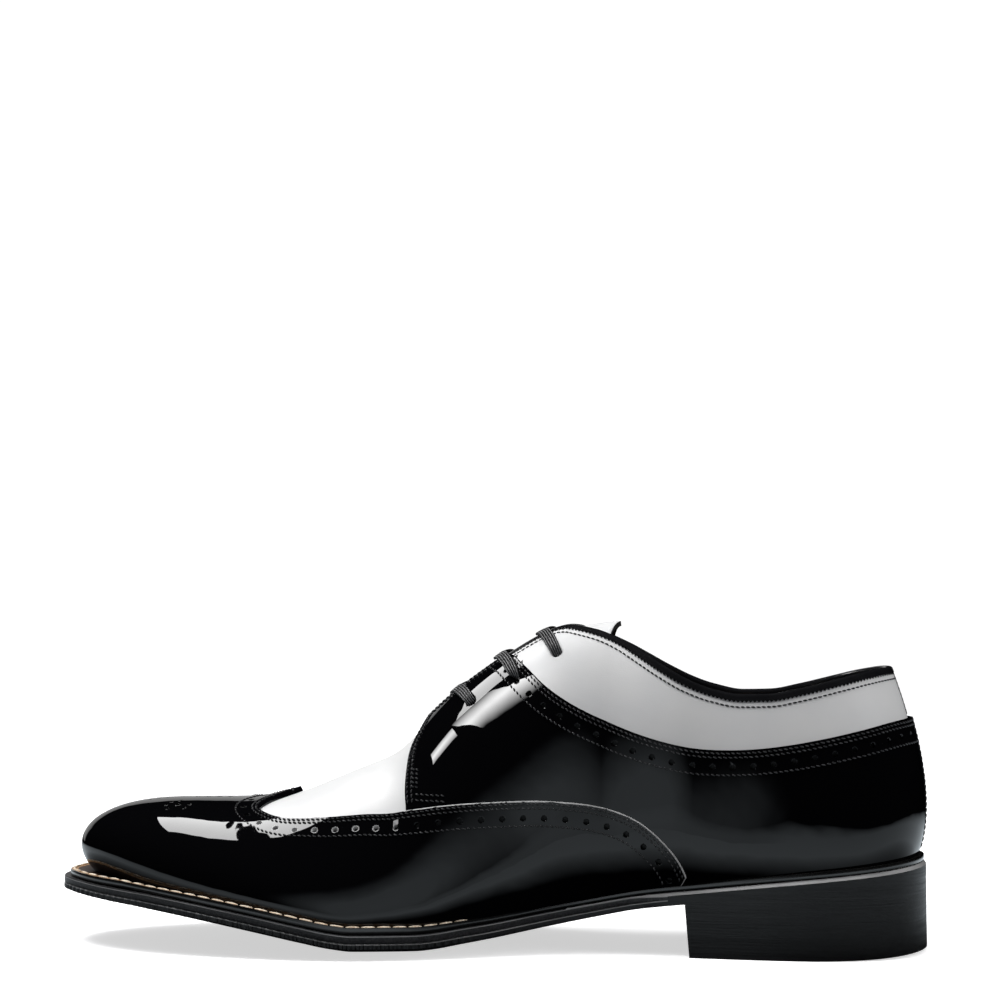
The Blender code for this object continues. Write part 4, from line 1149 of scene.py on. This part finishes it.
for k in range(len(path)):
    halfWidth = lace["width"] / 2 * (1 - (1 - lace["pinch"]) * pinch[k])
    halfThick = lace["thick"] / 2 * (1 + lace["swell"] * pinch[k])
    strand = np.abs(np.sin(math.pi * (steps[k] / lace["plait"] + 0.5 * np.floor(ribPlace))))
    roundness = 1.0 - lace["strandShare"] + lace["strandShare"] * strand
    groove = lace["ribHeight"] * (1.0 - np.abs(np.sin(math.pi * ribPlace)) * roundness)
    depth = np.concatenate([halfThick * crown[:len(front)] - groove, -halfThick * crown[len(front):]])
    ring = path[k] + wide[k] * (reachAcross * halfWidth)[:, None] + tall[k] * depth[:, None]
    rings.append(np.concatenate([ring, ring[:1]]))
# rows on the rib crests take the painted highlight, the grooves and the back keep the lace's own black
ribMiddles = np.abs(np.sin(math.pi * (ribPlace[1:] + ribPlace[:-1]) / 2))
laceRows = [0 if shine > lace["ribShine"] else 1 for shine in ribMiddles] + [1] * (lace["backPoints"] + 1)
tubePiece("lace", gridOn(np.array(rings), laceRows), (laceRibHighlight, laceGroove),
          ("lace_low", "lace_mid", "lace_top"))
print("lace ready: length", round(float(laceLength), 1), "mm")

# tongue under the facings
tongue = {
    # station, half width, depth below the last
    "rows": (
        (108.2, 14.0, 3.8), (114.0, 17.0, 3.6), (123.0, 20.0, 3.2), (140.0, 21.0, 3.1),
        (160.0, 20.0, 2.8), (180.0, 18.0, 2.6), (194.0, 15.0, 2.6)),
    "thick": 1.8, "columns": 60, "across": 36, "edgeTilt": 0.7,
}
halfAt, depthAt = steadyTable(tongue["rows"], 1), steadyTable(tongue["rows"], 2)
lengths = np.linspace(tongue["rows"][0][0], tongue["rows"][-1][0], tongue["columns"] + 1)
widths = np.linspace(-1.0, 1.0, tongue["across"] + 1)
spots = np.array([[across(station, share * halfAt(station)) for share in widths] for station in lengths])
depths = -np.repeat(depthAt(lengths)[:, None], len(widths), 1)
tongueSkin = gridSkin(spots[..., 0], spots[..., 1], depths)
heightLayer = tongueSkin.verts.layers.float["height"]
for vert in tongueSkin.verts:
    vert[heightLayer] = tongue["thick"]
leatherPiece("tongue", tongueSkin, 0.0, (white, lining), ("tongue",),
             tongue["edgeTilt"], wallMaterial=1)
print("tongue ready")


# loops of sole points at a reach from the feather line
soleMarks = np.linspace(0.0, loopLength, loopLength * search["solePerSection"] + 1)
weltOut = sectionsAt(soleMarks)[:, 7]
soleOut = sectionsAt(soleMarks)[:, 8]
featherLine = np.zeros(len(soleMarks))


def soleRing(out, outsoleShare, weltShare, lift=0.0):
    plan = outlinePoint(soleMarks, out)
    height = soleHeight(plan[:, 0], plan[:, 1], outsoleShare, weltShare) + lift
    return np.concatenate([plan, height[:, None]], 1)


def innerRing(out, share, outsoleShare, weltShare, lift=0.0):
    middle = spinePoint(soleMarks)
    plan = middle + (outlinePoint(soleMarks, out) - middle) * share
    height = soleHeight(plan[:, 0], plan[:, 1], outsoleShare, weltShare) + lift
    return np.concatenate([plan, height[:, None]], 1)


def soleBody(name, rings, rowMaterials, materials, nodes, sharp=32, repaint=None):
    bm = gridOn(np.stack(rings, 1), rowMaterials)
    if repaint is not None:
        for face in bm.faces:
            face.material_index = repaint(face.material_index, face.calc_center_median().x)
    place(bm)
    return finishPiece(name, bm, materials, nodes, sharp)


# outsole: grey upper band, groove, dark tread band with small teeth under the forefoot, and thin painted
# highlight lines along its side
outsole = {
    # inset and share of the height under the forefoot, then round the heel
    "side": ((1.0, 0.0, 0.0, 0.0), (0.35, 0.03, 0.0, 0.03), (0.0, 0.1, 0.0, 0.1),
             (0.0, 0.36, 0.0, 0.36), (0.0, 0.42, 0.0, 0.42), (0.75, 0.455, 0.0, 0.455),
             (0.75, 0.475, 0.0, 0.475), (0.3, 0.5, 0.0, 0.5), (0.15, 0.56, 0.0, 0.56),
             (0.15, 0.88, 0.0, 0.7), (0.15, 0.94, 0.0, 0.76), (0.3, 1.0, 0.8, 1.0)),
    "rings": (0.28, 0.65, 0.9), "ringInset": 1.0, "rebate": 5.0,
    "toothPitch": 2.9, "toothDepth": 0.5, "toothSteep": 3.0, "toothShare": 0.42,
    "teethFrom": 152.0, "teethTo": 160.0, "heelTo": 90.0, "stepsFrom": 104.0, "ledgeTo": 125.0,
    "highlightRows": (3, 4, 9), "darkRows": 6,
}
edgeLine = soleRing(soleOut, 0.0, 0.0)
toothWave = np.sin(2 * math.pi * runLength(edgeLine) / outsole["toothPitch"])
toothWave = np.clip(toothWave * outsole["toothSteep"], -1.0, 1.0) * 0.5 + 0.5
toothWave *= smoothStep(edgeLine[:, 0], outsole["teethFrom"], outsole["teethTo"])
notch = toothWave * outsole["toothDepth"]
stepped = smoothStep(edgeLine[:, 0], outsole["heelTo"], outsole["stepsFrom"])
rings = [innerRing(soleOut, 0.0, 0.0, 0.0)]
rings += [innerRing(soleOut - outsole["ringInset"], share, 0.0, 0.0) for share in outsole["rings"]]
for inset, share, heelInset, heelShare in outsole["side"]:
    cut = notch if share <= outsole["toothShare"] else 0.0 * notch
    rings.append(soleRing(soleOut - heelInset - (inset - heelInset) * stepped - cut,
                          heelShare + (share - heelShare) * stepped, 0.0))
rings += [soleRing(featherLine - outsole["rebate"], 1.0, 0.0),
          soleRing(featherLine - outsole["rebate"], 1.0, 1.0),
          innerRing(featherLine - outsole["rebate"], 0.0, 1.0, 1.0)]
darkRows = len(outsole["rings"]) + 1 + outsole["darkRows"]
sideRows = len(outsole["rings"]) + len(outsole["side"])
outsoleRows = [1] * darkRows + [0] * (sideRows - darkRows) + [3] + [0] * 2
# these thin rows get the painted highlight lines
for row in outsole["highlightRows"]:
    outsoleRows[len(outsole["rings"]) + 1 + row] = 4
# the top chamfer row carries the painted highlight of the heel seat ledge
outsoleRows[sideRows - 1] = 3


# rows of the outsole: waxed round the heel, a painted highlight on the ledge at the heel seat
def outsolePaint(material, station):
    if material == 3:
        return 3 if station < outsole["ledgeTo"] else 0
    return 2 if station < outsole["heelTo"] else material


soleBody("outsole", rings, outsoleRows, (soleGrey, soleDark, heelWax, paintedHighlightEdge, paintedHighlightLine),
         ("outsole",), repaint=outsolePaint)

# welt: glossy black edge, tan top with its own stitches round the forefoot, painted shade on the inner
# band next to the upper
welt = {
    "side": ((0.5, 0.0), (0.12, 0.06), (0.0, 0.2), (0.0, 0.8), (0.12, 0.94), (0.5, 1.0)),
    "stitchPitch": 5.4, "stitchIn": 1.35, "stitchFrom": 158.0, "stitchLift": 0.12,
    # half length as a share of the pitch, half width, half height
    "stitchShape": (0.47, 0.55, 0.42), "stitchSides": (10, 6),
    "band": 2.7, "bandLeast": 0.45, "seat": 0.4, "toeFrom": 270.0, "toeTo": 294.0, "toeReach": 3.0,
}
atToe = smoothStep(sectionsAt(soleMarks)[:, 0], welt["toeFrom"], welt["toeTo"])
weltOut = weltOut + welt["toeReach"] * atToe
rings = [soleRing(weltOut - inset, 1.0, share, last["gap"] * (1.0 - share))
         for inset, share in welt["side"]]
rings += [soleRing(np.maximum(weltOut - welt["band"], welt["bandLeast"]), 1.0, 1.0),
          soleRing(featherLine + welt["seat"], 1.0, 1.0),
          soleRing(featherLine - outsole["rebate"] + last["gap"], 1.0, 1.0),
          soleRing(featherLine - outsole["rebate"] + last["gap"], 1.0, 0.0, last["gap"])]
rings += [rings[0]]
soleBody("welt", rings, [0] * 5 + [1] + [2] * 2 + [0] * 2, (weltEdge, weltTop, weltPaintedShade),
         ("welt",))

insole = {"inset": 2.3, "thick": 2.4, "rings": (1.0, 0.75, 0.5, 0.25, 0.0)}
under, over = last["gap"], last["gap"] + insole["thick"]
rings = [innerRing(featherLine - insole["inset"], share, 1.0, 1.0, under) for share in (0.0, 1.0)]
rings += [innerRing(featherLine - insole["inset"], share, 1.0, 1.0, over) for share in insole["rings"]]
soleBody("insole", rings, None, (tan,), ("insole",))

# heel block: rounded back, straight breast, foot flared a little at the back
heel = {
    "breastTop": 84.0, "breastBottom": 82.4, "flare": 0.35, "spread": 1.01, "bevelFrom": 46.0,
    "bevel": 1.6, "columns": 56, "across": 24, "inset": 0.02,
}
heelEdge = outlinePoint(sampleMarks, sampleFeet[:, 8] - heel["inset"])
heelMedial, heelLateral = heelEdge[medialHalf], heelEdge[~medialHalf][::-1]
heelStart = heelEdge[:, 0].min()
slices = []
for share in np.linspace(0.0, 1.0, heel["columns"] + 1):
    station = heelStart + (heel["breastTop"] - heelStart) * share ** 2
    footStart = heelStart - heel["flare"]
    footStation = footStart + (heel["breastBottom"] - footStart) * share ** 2
    medial = np.interp(station, heelMedial[:, 0], heelMedial[:, 1])
    lateral = np.interp(station, heelLateral[:, 0], heelLateral[:, 1])
    offsets = medial + (lateral - medial) * np.linspace(0.0, 1.0, heel["across"] + 1)
    offsets = offsets * float(share > 0.0)
    top = soleHeight(np.full(offsets.shape, station), offsets, 0.0, 0.0)
    lifted = heel["bevel"] * max(0.0, (heel["bevelFrom"] - footStation) / heel["bevelFrom"]) ** 2
    topSide = [(station, offset, height) for offset, height in zip(offsets, top)]
    footSide = [(footStation, offset * heel["spread"], lifted) for offset in offsets[::-1]]
    slices.append(topSide + footSide + topSide[:1])
tubePiece("heel", gridOn(np.array(slices)), (heelWax,), ("heel",), 32)
print("sole ready")


# short raised stitches along a line on the last
def addStitches(bm, line, lift, pitch=stitch["pitch"], slant=stitch["slant"], start=0.5, size=1.0):
    spots = spaced(line, pitch, start)
    if len(spots) < 2:
        return
    points = lastPoint(spots[:, 0], spots[:, 1])
    normals = lastNormal(spots[:, 0], spots[:, 1])
    runs = np.gradient(points, axis=0)
    shape = Matrix.Diagonal((stitch["length"] * pitch / stitch["pitch"], stitch["width"] * size,
                             stitch["height"] * size, 1.0))
    row = bmesh.new()
    for point, normal, run in zip(points, normals, runs):
        out = Vector(normal)
        along = Matrix.Rotation(math.radians(slant), 3, out) @ Vector(run).normalized()
        side = out.cross(along).normalized()
        seat = Matrix((along, side, out)).transposed().to_4x4()
        seat.translation = Vector(point) + out * lift
        bmesh.ops.create_uvsphere(row, u_segments=stitch["sides"][0], v_segments=stitch["sides"][1],
                                  radius=1.0, matrix=seat @ shape)
    joinInto(bm, row)


# move one bmesh into another
def joinInto(bm, other):
    carrier = bpy.data.meshes.new("carrier")
    other.to_mesh(carrier)
    other.free()
    bm.from_mesh(carrier)
    bpy.data.meshes.remove(carrier)


# every row is sewn on both sides of the shoe
def sewBoth(bm, line, lift, **how):
    addStitches(bm, line, lift, **how)
    addStitches(bm, mirrored(line), lift, **how)


thread = bmesh.new()
for distance in wing["stitchRows"]:
    sewBoth(thread, offsetLine(wingLine, distance), wing["lift"] + stitch["lift"])
place(thread)
finishPiece("wingStitches", thread, (blackThread,))

thread = bmesh.new()
for distance in quarter["collarRows"]:
    sewBoth(thread, offsetLine(collarLine, distance), quarter["lift"] + stitch["lift"])
frontLine = np.concatenate([facingLine, rimRun[2:]])
for distance in quarter["facingRows"]:
    sewBoth(thread, offsetLine(frontLine, distance), quarter["lift"] + stitch["lift"])


# level row of stitches at the foot of the facing
def levelRow(height, run, count):
    return panelLine([(station, height) for station in np.linspace(*run, 4)], count)


facingFoot = {
    "rows": (54.8, 52.9), "run": (177.0, 166.2), "tacks": (57.2, 58.6, 60.0, 61.4, 62.8),
    "tackRun": (178.6, 175.4), "tackPitch": 1.5, "tackLift": 0.05, "tackSize": 1.2,
}
for height in facingFoot["rows"]:
    sewBoth(thread, levelRow(height, facingFoot["run"], 30), quarter["lift"] + stitch["lift"])
for height in facingFoot["tacks"]:
    sewBoth(thread, levelRow(height, facingFoot["tackRun"], 12), quarter["lift"] + facingFoot["tackLift"],
            pitch=facingFoot["tackPitch"], size=facingFoot["tackSize"])
backSeam = {"side": 0.055, "foot": 0.05, "pitch": 2.0, "points": 200, "below": 0.005, "above": 0.015}
seamShares = np.linspace(backSeam["foot"], 1.0, backSeam["points"])
seamLine = np.stack([np.full(len(seamShares), backSeam["side"]),
                     seamShares * rimAt(backSeam["side"])], -1)
collarFoot = collarLine[-1, 1]
sewBoth(thread, seamLine[seamLine[:, 1] < collarFoot - backSeam["below"]],
        quarter["lift"] + stitch["lift"], pitch=backSeam["pitch"])
place(thread)
finishPiece("quarterStitches", thread, (blackThread,))

thread = bmesh.new()
sewBoth(thread, seamLine[seamLine[:, 1] > collarFoot + backSeam["above"]], stitch["lift"],
        pitch=backSeam["pitch"])
collarRim = np.linspace(*binding["stitchRun"], 400)
collarRim = np.stack([collarRim, rimAt(collarRim)], -1)
sewBoth(thread, offsetLine(collarRim, binding["stitchRow"]), stitch["lift"], slant=binding["stitchSlant"])
place(thread)
finishPiece("collarStitches", thread, (blackThread,))

# long pale stitches on the welt
weltRun = soleRing(weltOut - welt["stitchIn"], 1.0, 1.0, welt["stitchLift"])
weltRun = weltRun[weltRun[:, 0] > welt["stitchFrom"]]
reach = runLength(weltRun)
lengthShare, halfWidth, halfHeight = welt["stitchShape"]
size = Matrix.Diagonal((welt["stitchPitch"] * lengthShare, halfWidth, halfHeight, 1.0))
seats = np.arange(welt["stitchPitch"] / 2, reach[-1], welt["stitchPitch"])
thread = bmesh.new()
for seat in seats:
    here, ahead = [Vector([np.interp(spot, reach, weltRun[:, k]) for k in range(3)])
                   for spot in (seat - 0.5, seat + 0.5)]
    along = (ahead - here).normalized()
    side = Vector((0.0, 0.0, 1.0)).cross(along).normalized()
    seating = Matrix((along, side, along.cross(side))).transposed().to_4x4()
    seating.translation = (here + ahead) / 2
    bmesh.ops.create_uvsphere(thread, u_segments=welt["stitchSides"][0], v_segments=welt["stitchSides"][1],
                              radius=1.0, matrix=seating @ size)
place(thread)
finishPiece("weltStitches", thread, (paleThread,))
print("stitches ready")

# camera at the photo's angle
camera = {
    "place": (0.10778, -0.99585, 0.145), "toward": (-0.10453, 0.99452, 0.0), "lens": 100.8,
    "sensor": 36.0, "shift": 0.0364, "clip": 0.01,
}
lensData = bpy.data.cameras.new("camera")
lensData.lens = camera["lens"]
lensData.sensor_width = camera["sensor"]
lensData.shift_y = camera["shift"]
lensData.clip_start = camera["clip"]
eye = bpy.data.objects.new("camera", lensData)
eye.location = camera["place"]
eye.rotation_euler = Vector(camera["toward"]).to_track_quat("-Z", "Y").to_euler()
bpy.context.scene.collection.objects.link(eye)
bpy.context.scene.camera = eye

# pale floor, pale backdrop for the camera, and the studio's lights
studio = {
    "floorSize": 1.3, "floorTone": (0.88, 0.88, 0.885), "floorRough": 0.8, "floorGlow": 0.6,
    "domeRadius": 5.0, "domeTone": 1.05, "air": (0.13, 0.13, 0.136),
    "cardPlace": (-0.85, 1.4, 0.36), "cardSize": (1.7, 0.7), "cardTone": 0.55,
    # the floor as gloss sees it: share of its reach, and brightness
    "shineReach": (0.41, 0.95, 0.0), "shineTone": (0.85, 0.94, 1.0), "shineDepth": 0.0005,
    "shineStops": ((0.075, 0.0), (0.13, 1.0), (0.26, 0.85), (0.45, 0.0)),
    # sheer card low in front of the shoe
    "lowCardPlace": (-0.014, -0.2, 0.036), "lowCardSize": (0.25, 0.2), "lowCardReach": (8.0, 0.0, 10.5),
    "lowCardStops": ((0.0, 0.94), (0.4, 0.9), (0.75, 0.5), (1.0, 0.0)),
}


def stagePiece(name, bm, paint):
    mesh = bpy.data.meshes.new(name)
    bm.to_mesh(mesh)
    bm.free()
    mesh.materials.append(paint)
    made = bpy.data.objects.new(name, mesh)
    bpy.context.scene.collection.objects.link(made)
    return made


def glowPaint(name, strength, tone=grey(0.0), rough=1.0):
    made, _, shader = blank(name, tone, rough)
    shader.inputs["Specular IOR Level"].default_value = 0.0
    shader.inputs["Emission Color"].default_value = (1.0, 1.0, 1.0, 1.0)
    shader.inputs["Emission Strength"].default_value = strength
    return made


# glow that changes with the distance from a centre
def shinePaint(name, centre, scale, levels, sheer=False):
    made, tree, shader = blank(name, grey(0.0), 1.0)
    away = tree.nodes.new("ShaderNodeVectorMath")
    away.operation = "SUBTRACT"
    away.inputs[1].default_value = [spot * factor for spot, factor in zip(centre, scale)]
    tree.links.new(objectCoords(tree, scale), away.inputs[0])
    reach = tree.nodes.new("ShaderNodeVectorMath")
    reach.operation = "LENGTH"
    tree.links.new(away.outputs["Vector"], reach.inputs[0])
    fade = tree.nodes.new("ShaderNodeValToRGB")
    stops = fade.color_ramp.elements
    for spot, level in levels[1:-1]:
        stops.new(spot)
    for stop, (spot, level) in zip(stops, levels):
        stop.position = spot
        stop.color = (*(level * tone for tone in studio["shineTone"]), 1.0)
    tree.links.new(reach.outputs["Value"], fade.inputs["Fac"])
    tree.links.new(fade.outputs["Color"], shader.inputs["Emission Color"])
    if sheer:
        tree.links.new(fade.outputs["Color"], shader.inputs["Alpha"])
    shader.inputs["Emission Strength"].default_value = 1.0
    shader.inputs["Specular IOR Level"].default_value = 0.0
    return made


def flatGround(depth):
    ground = bmesh.new()
    bmesh.ops.create_grid(ground, x_segments=1, y_segments=1, size=studio["floorSize"])
    bmesh.ops.translate(ground, vec=(0.0, 0.0, -depth), verts=ground.verts)
    return ground


floor = stagePiece("floor", flatGround(0.0), glowPaint("floorPaint", studio["floorGlow"],
                                                       studio["floorTone"], studio["floorRough"]))
floor.visible_diffuse = False
floor.visible_glossy = False
# the floor that gloss alone sees, with a painted shadow dark under the shoe and its glow fading away from
# it
shine = stagePiece("floorShine", flatGround(studio["shineDepth"]),
                   shinePaint("floorShine", (0.0, 0.0, 0.0), studio["shineReach"], studio["shineStops"]))
shine.visible_camera = False
shine.visible_diffuse = False
shine.visible_shadow = False

around = bmesh.new()
bmesh.ops.create_uvsphere(around, u_segments=48, v_segments=24, radius=studio["domeRadius"])
dome = stagePiece("backdrop", around, glowPaint("backdropPaint", studio["domeTone"]))
dome.visible_diffuse = False
dome.visible_glossy = False
dome.visible_shadow = False


# upright card that only gloss and soft light see
def standCard(name, place, size, paint):
    card = bmesh.new()
    bmesh.ops.create_grid(card, x_segments=1, y_segments=1, size=0.5)
    bmesh.ops.scale(card, vec=(*size, 1.0), verts=card.verts)
    bmesh.ops.rotate(card, matrix=Matrix.Rotation(math.radians(90.0), 3, "X"), verts=card.verts)
    bmesh.ops.translate(card, vec=place, verts=card.verts)
    made = stagePiece(name, card, paint)
    made.visible_camera = False
    made.visible_shadow = False
    return made


standCard("backCard", studio["cardPlace"], studio["cardSize"], glowPaint("cardPaint", studio["cardTone"]))
lowCard = standCard("lowCard", studio["lowCardPlace"], studio["lowCardSize"],
                    shinePaint("lowCardPaint", studio["lowCardPlace"], studio["lowCardReach"],
                               studio["lowCardStops"], sheer=True))
lowCard.visible_diffuse = False


# place, target, size, power, whether gloss alone sees it, spread in degrees
lights = {
    "toeLight": ((-0.195, 0.041, 0.33), (-0.15, 0.041, 0.04), (0.142, 0.07), 0.4, True, 180.0),
    "quarterLight": ((-0.062, -0.06, 0.168), (0.008, -0.025, 0.086), (0.085, 0.02), 0.0052, True, 36.0),
    "facingLight": ((-0.091, -0.05, 0.158), (-0.012, -0.027, 0.072), (0.03, 0.018), 0.00045, True, 20.0),
    "vampLight": ((-0.35, -0.1, 0.9), (-0.03, -0.02, 0.07), (0.4, 0.4), 7.0, False, 180.0),
    "heelLight": ((0.85, -0.25, 0.35), (0.13, -0.01, 0.08), (0.4, 0.4), 2.4, False, 180.0),
    "topLight": ((0.0, 0.1, 2.2), (0.0, 0.1, 0.0), (3.5, 3.5), 46.0, False, 180.0),
}


def areaLight(name, place, target, size, power, glossy, spread):
    data = bpy.data.lights.new(name, "AREA")
    data.shape = "RECTANGLE"
    data.size, data.size_y = size
    data.energy = power
    data.spread = math.radians(spread)
    made = bpy.data.objects.new(name, data)
    made.location = place
    made.rotation_euler = (Vector(target) - Vector(place)).to_track_quat("-Z", "Y").to_euler()
    made.visible_camera = False
    made.visible_glossy = glossy
    made.visible_diffuse = not glossy
    bpy.context.scene.collection.objects.link(made)


for name, row in lights.items():
    areaLight(name, *row)
world = bpy.data.worlds.new("studioAir")
world.use_nodes = True
air = world.node_tree.nodes["Background"]
air.inputs["Color"].default_value = (*studio["air"], 1.0)
world.cycles_visibility.glossy = False
bpy.context.scene.world = world
bpy.context.scene.view_settings.view_transform = "Standard"

print("scene ready")
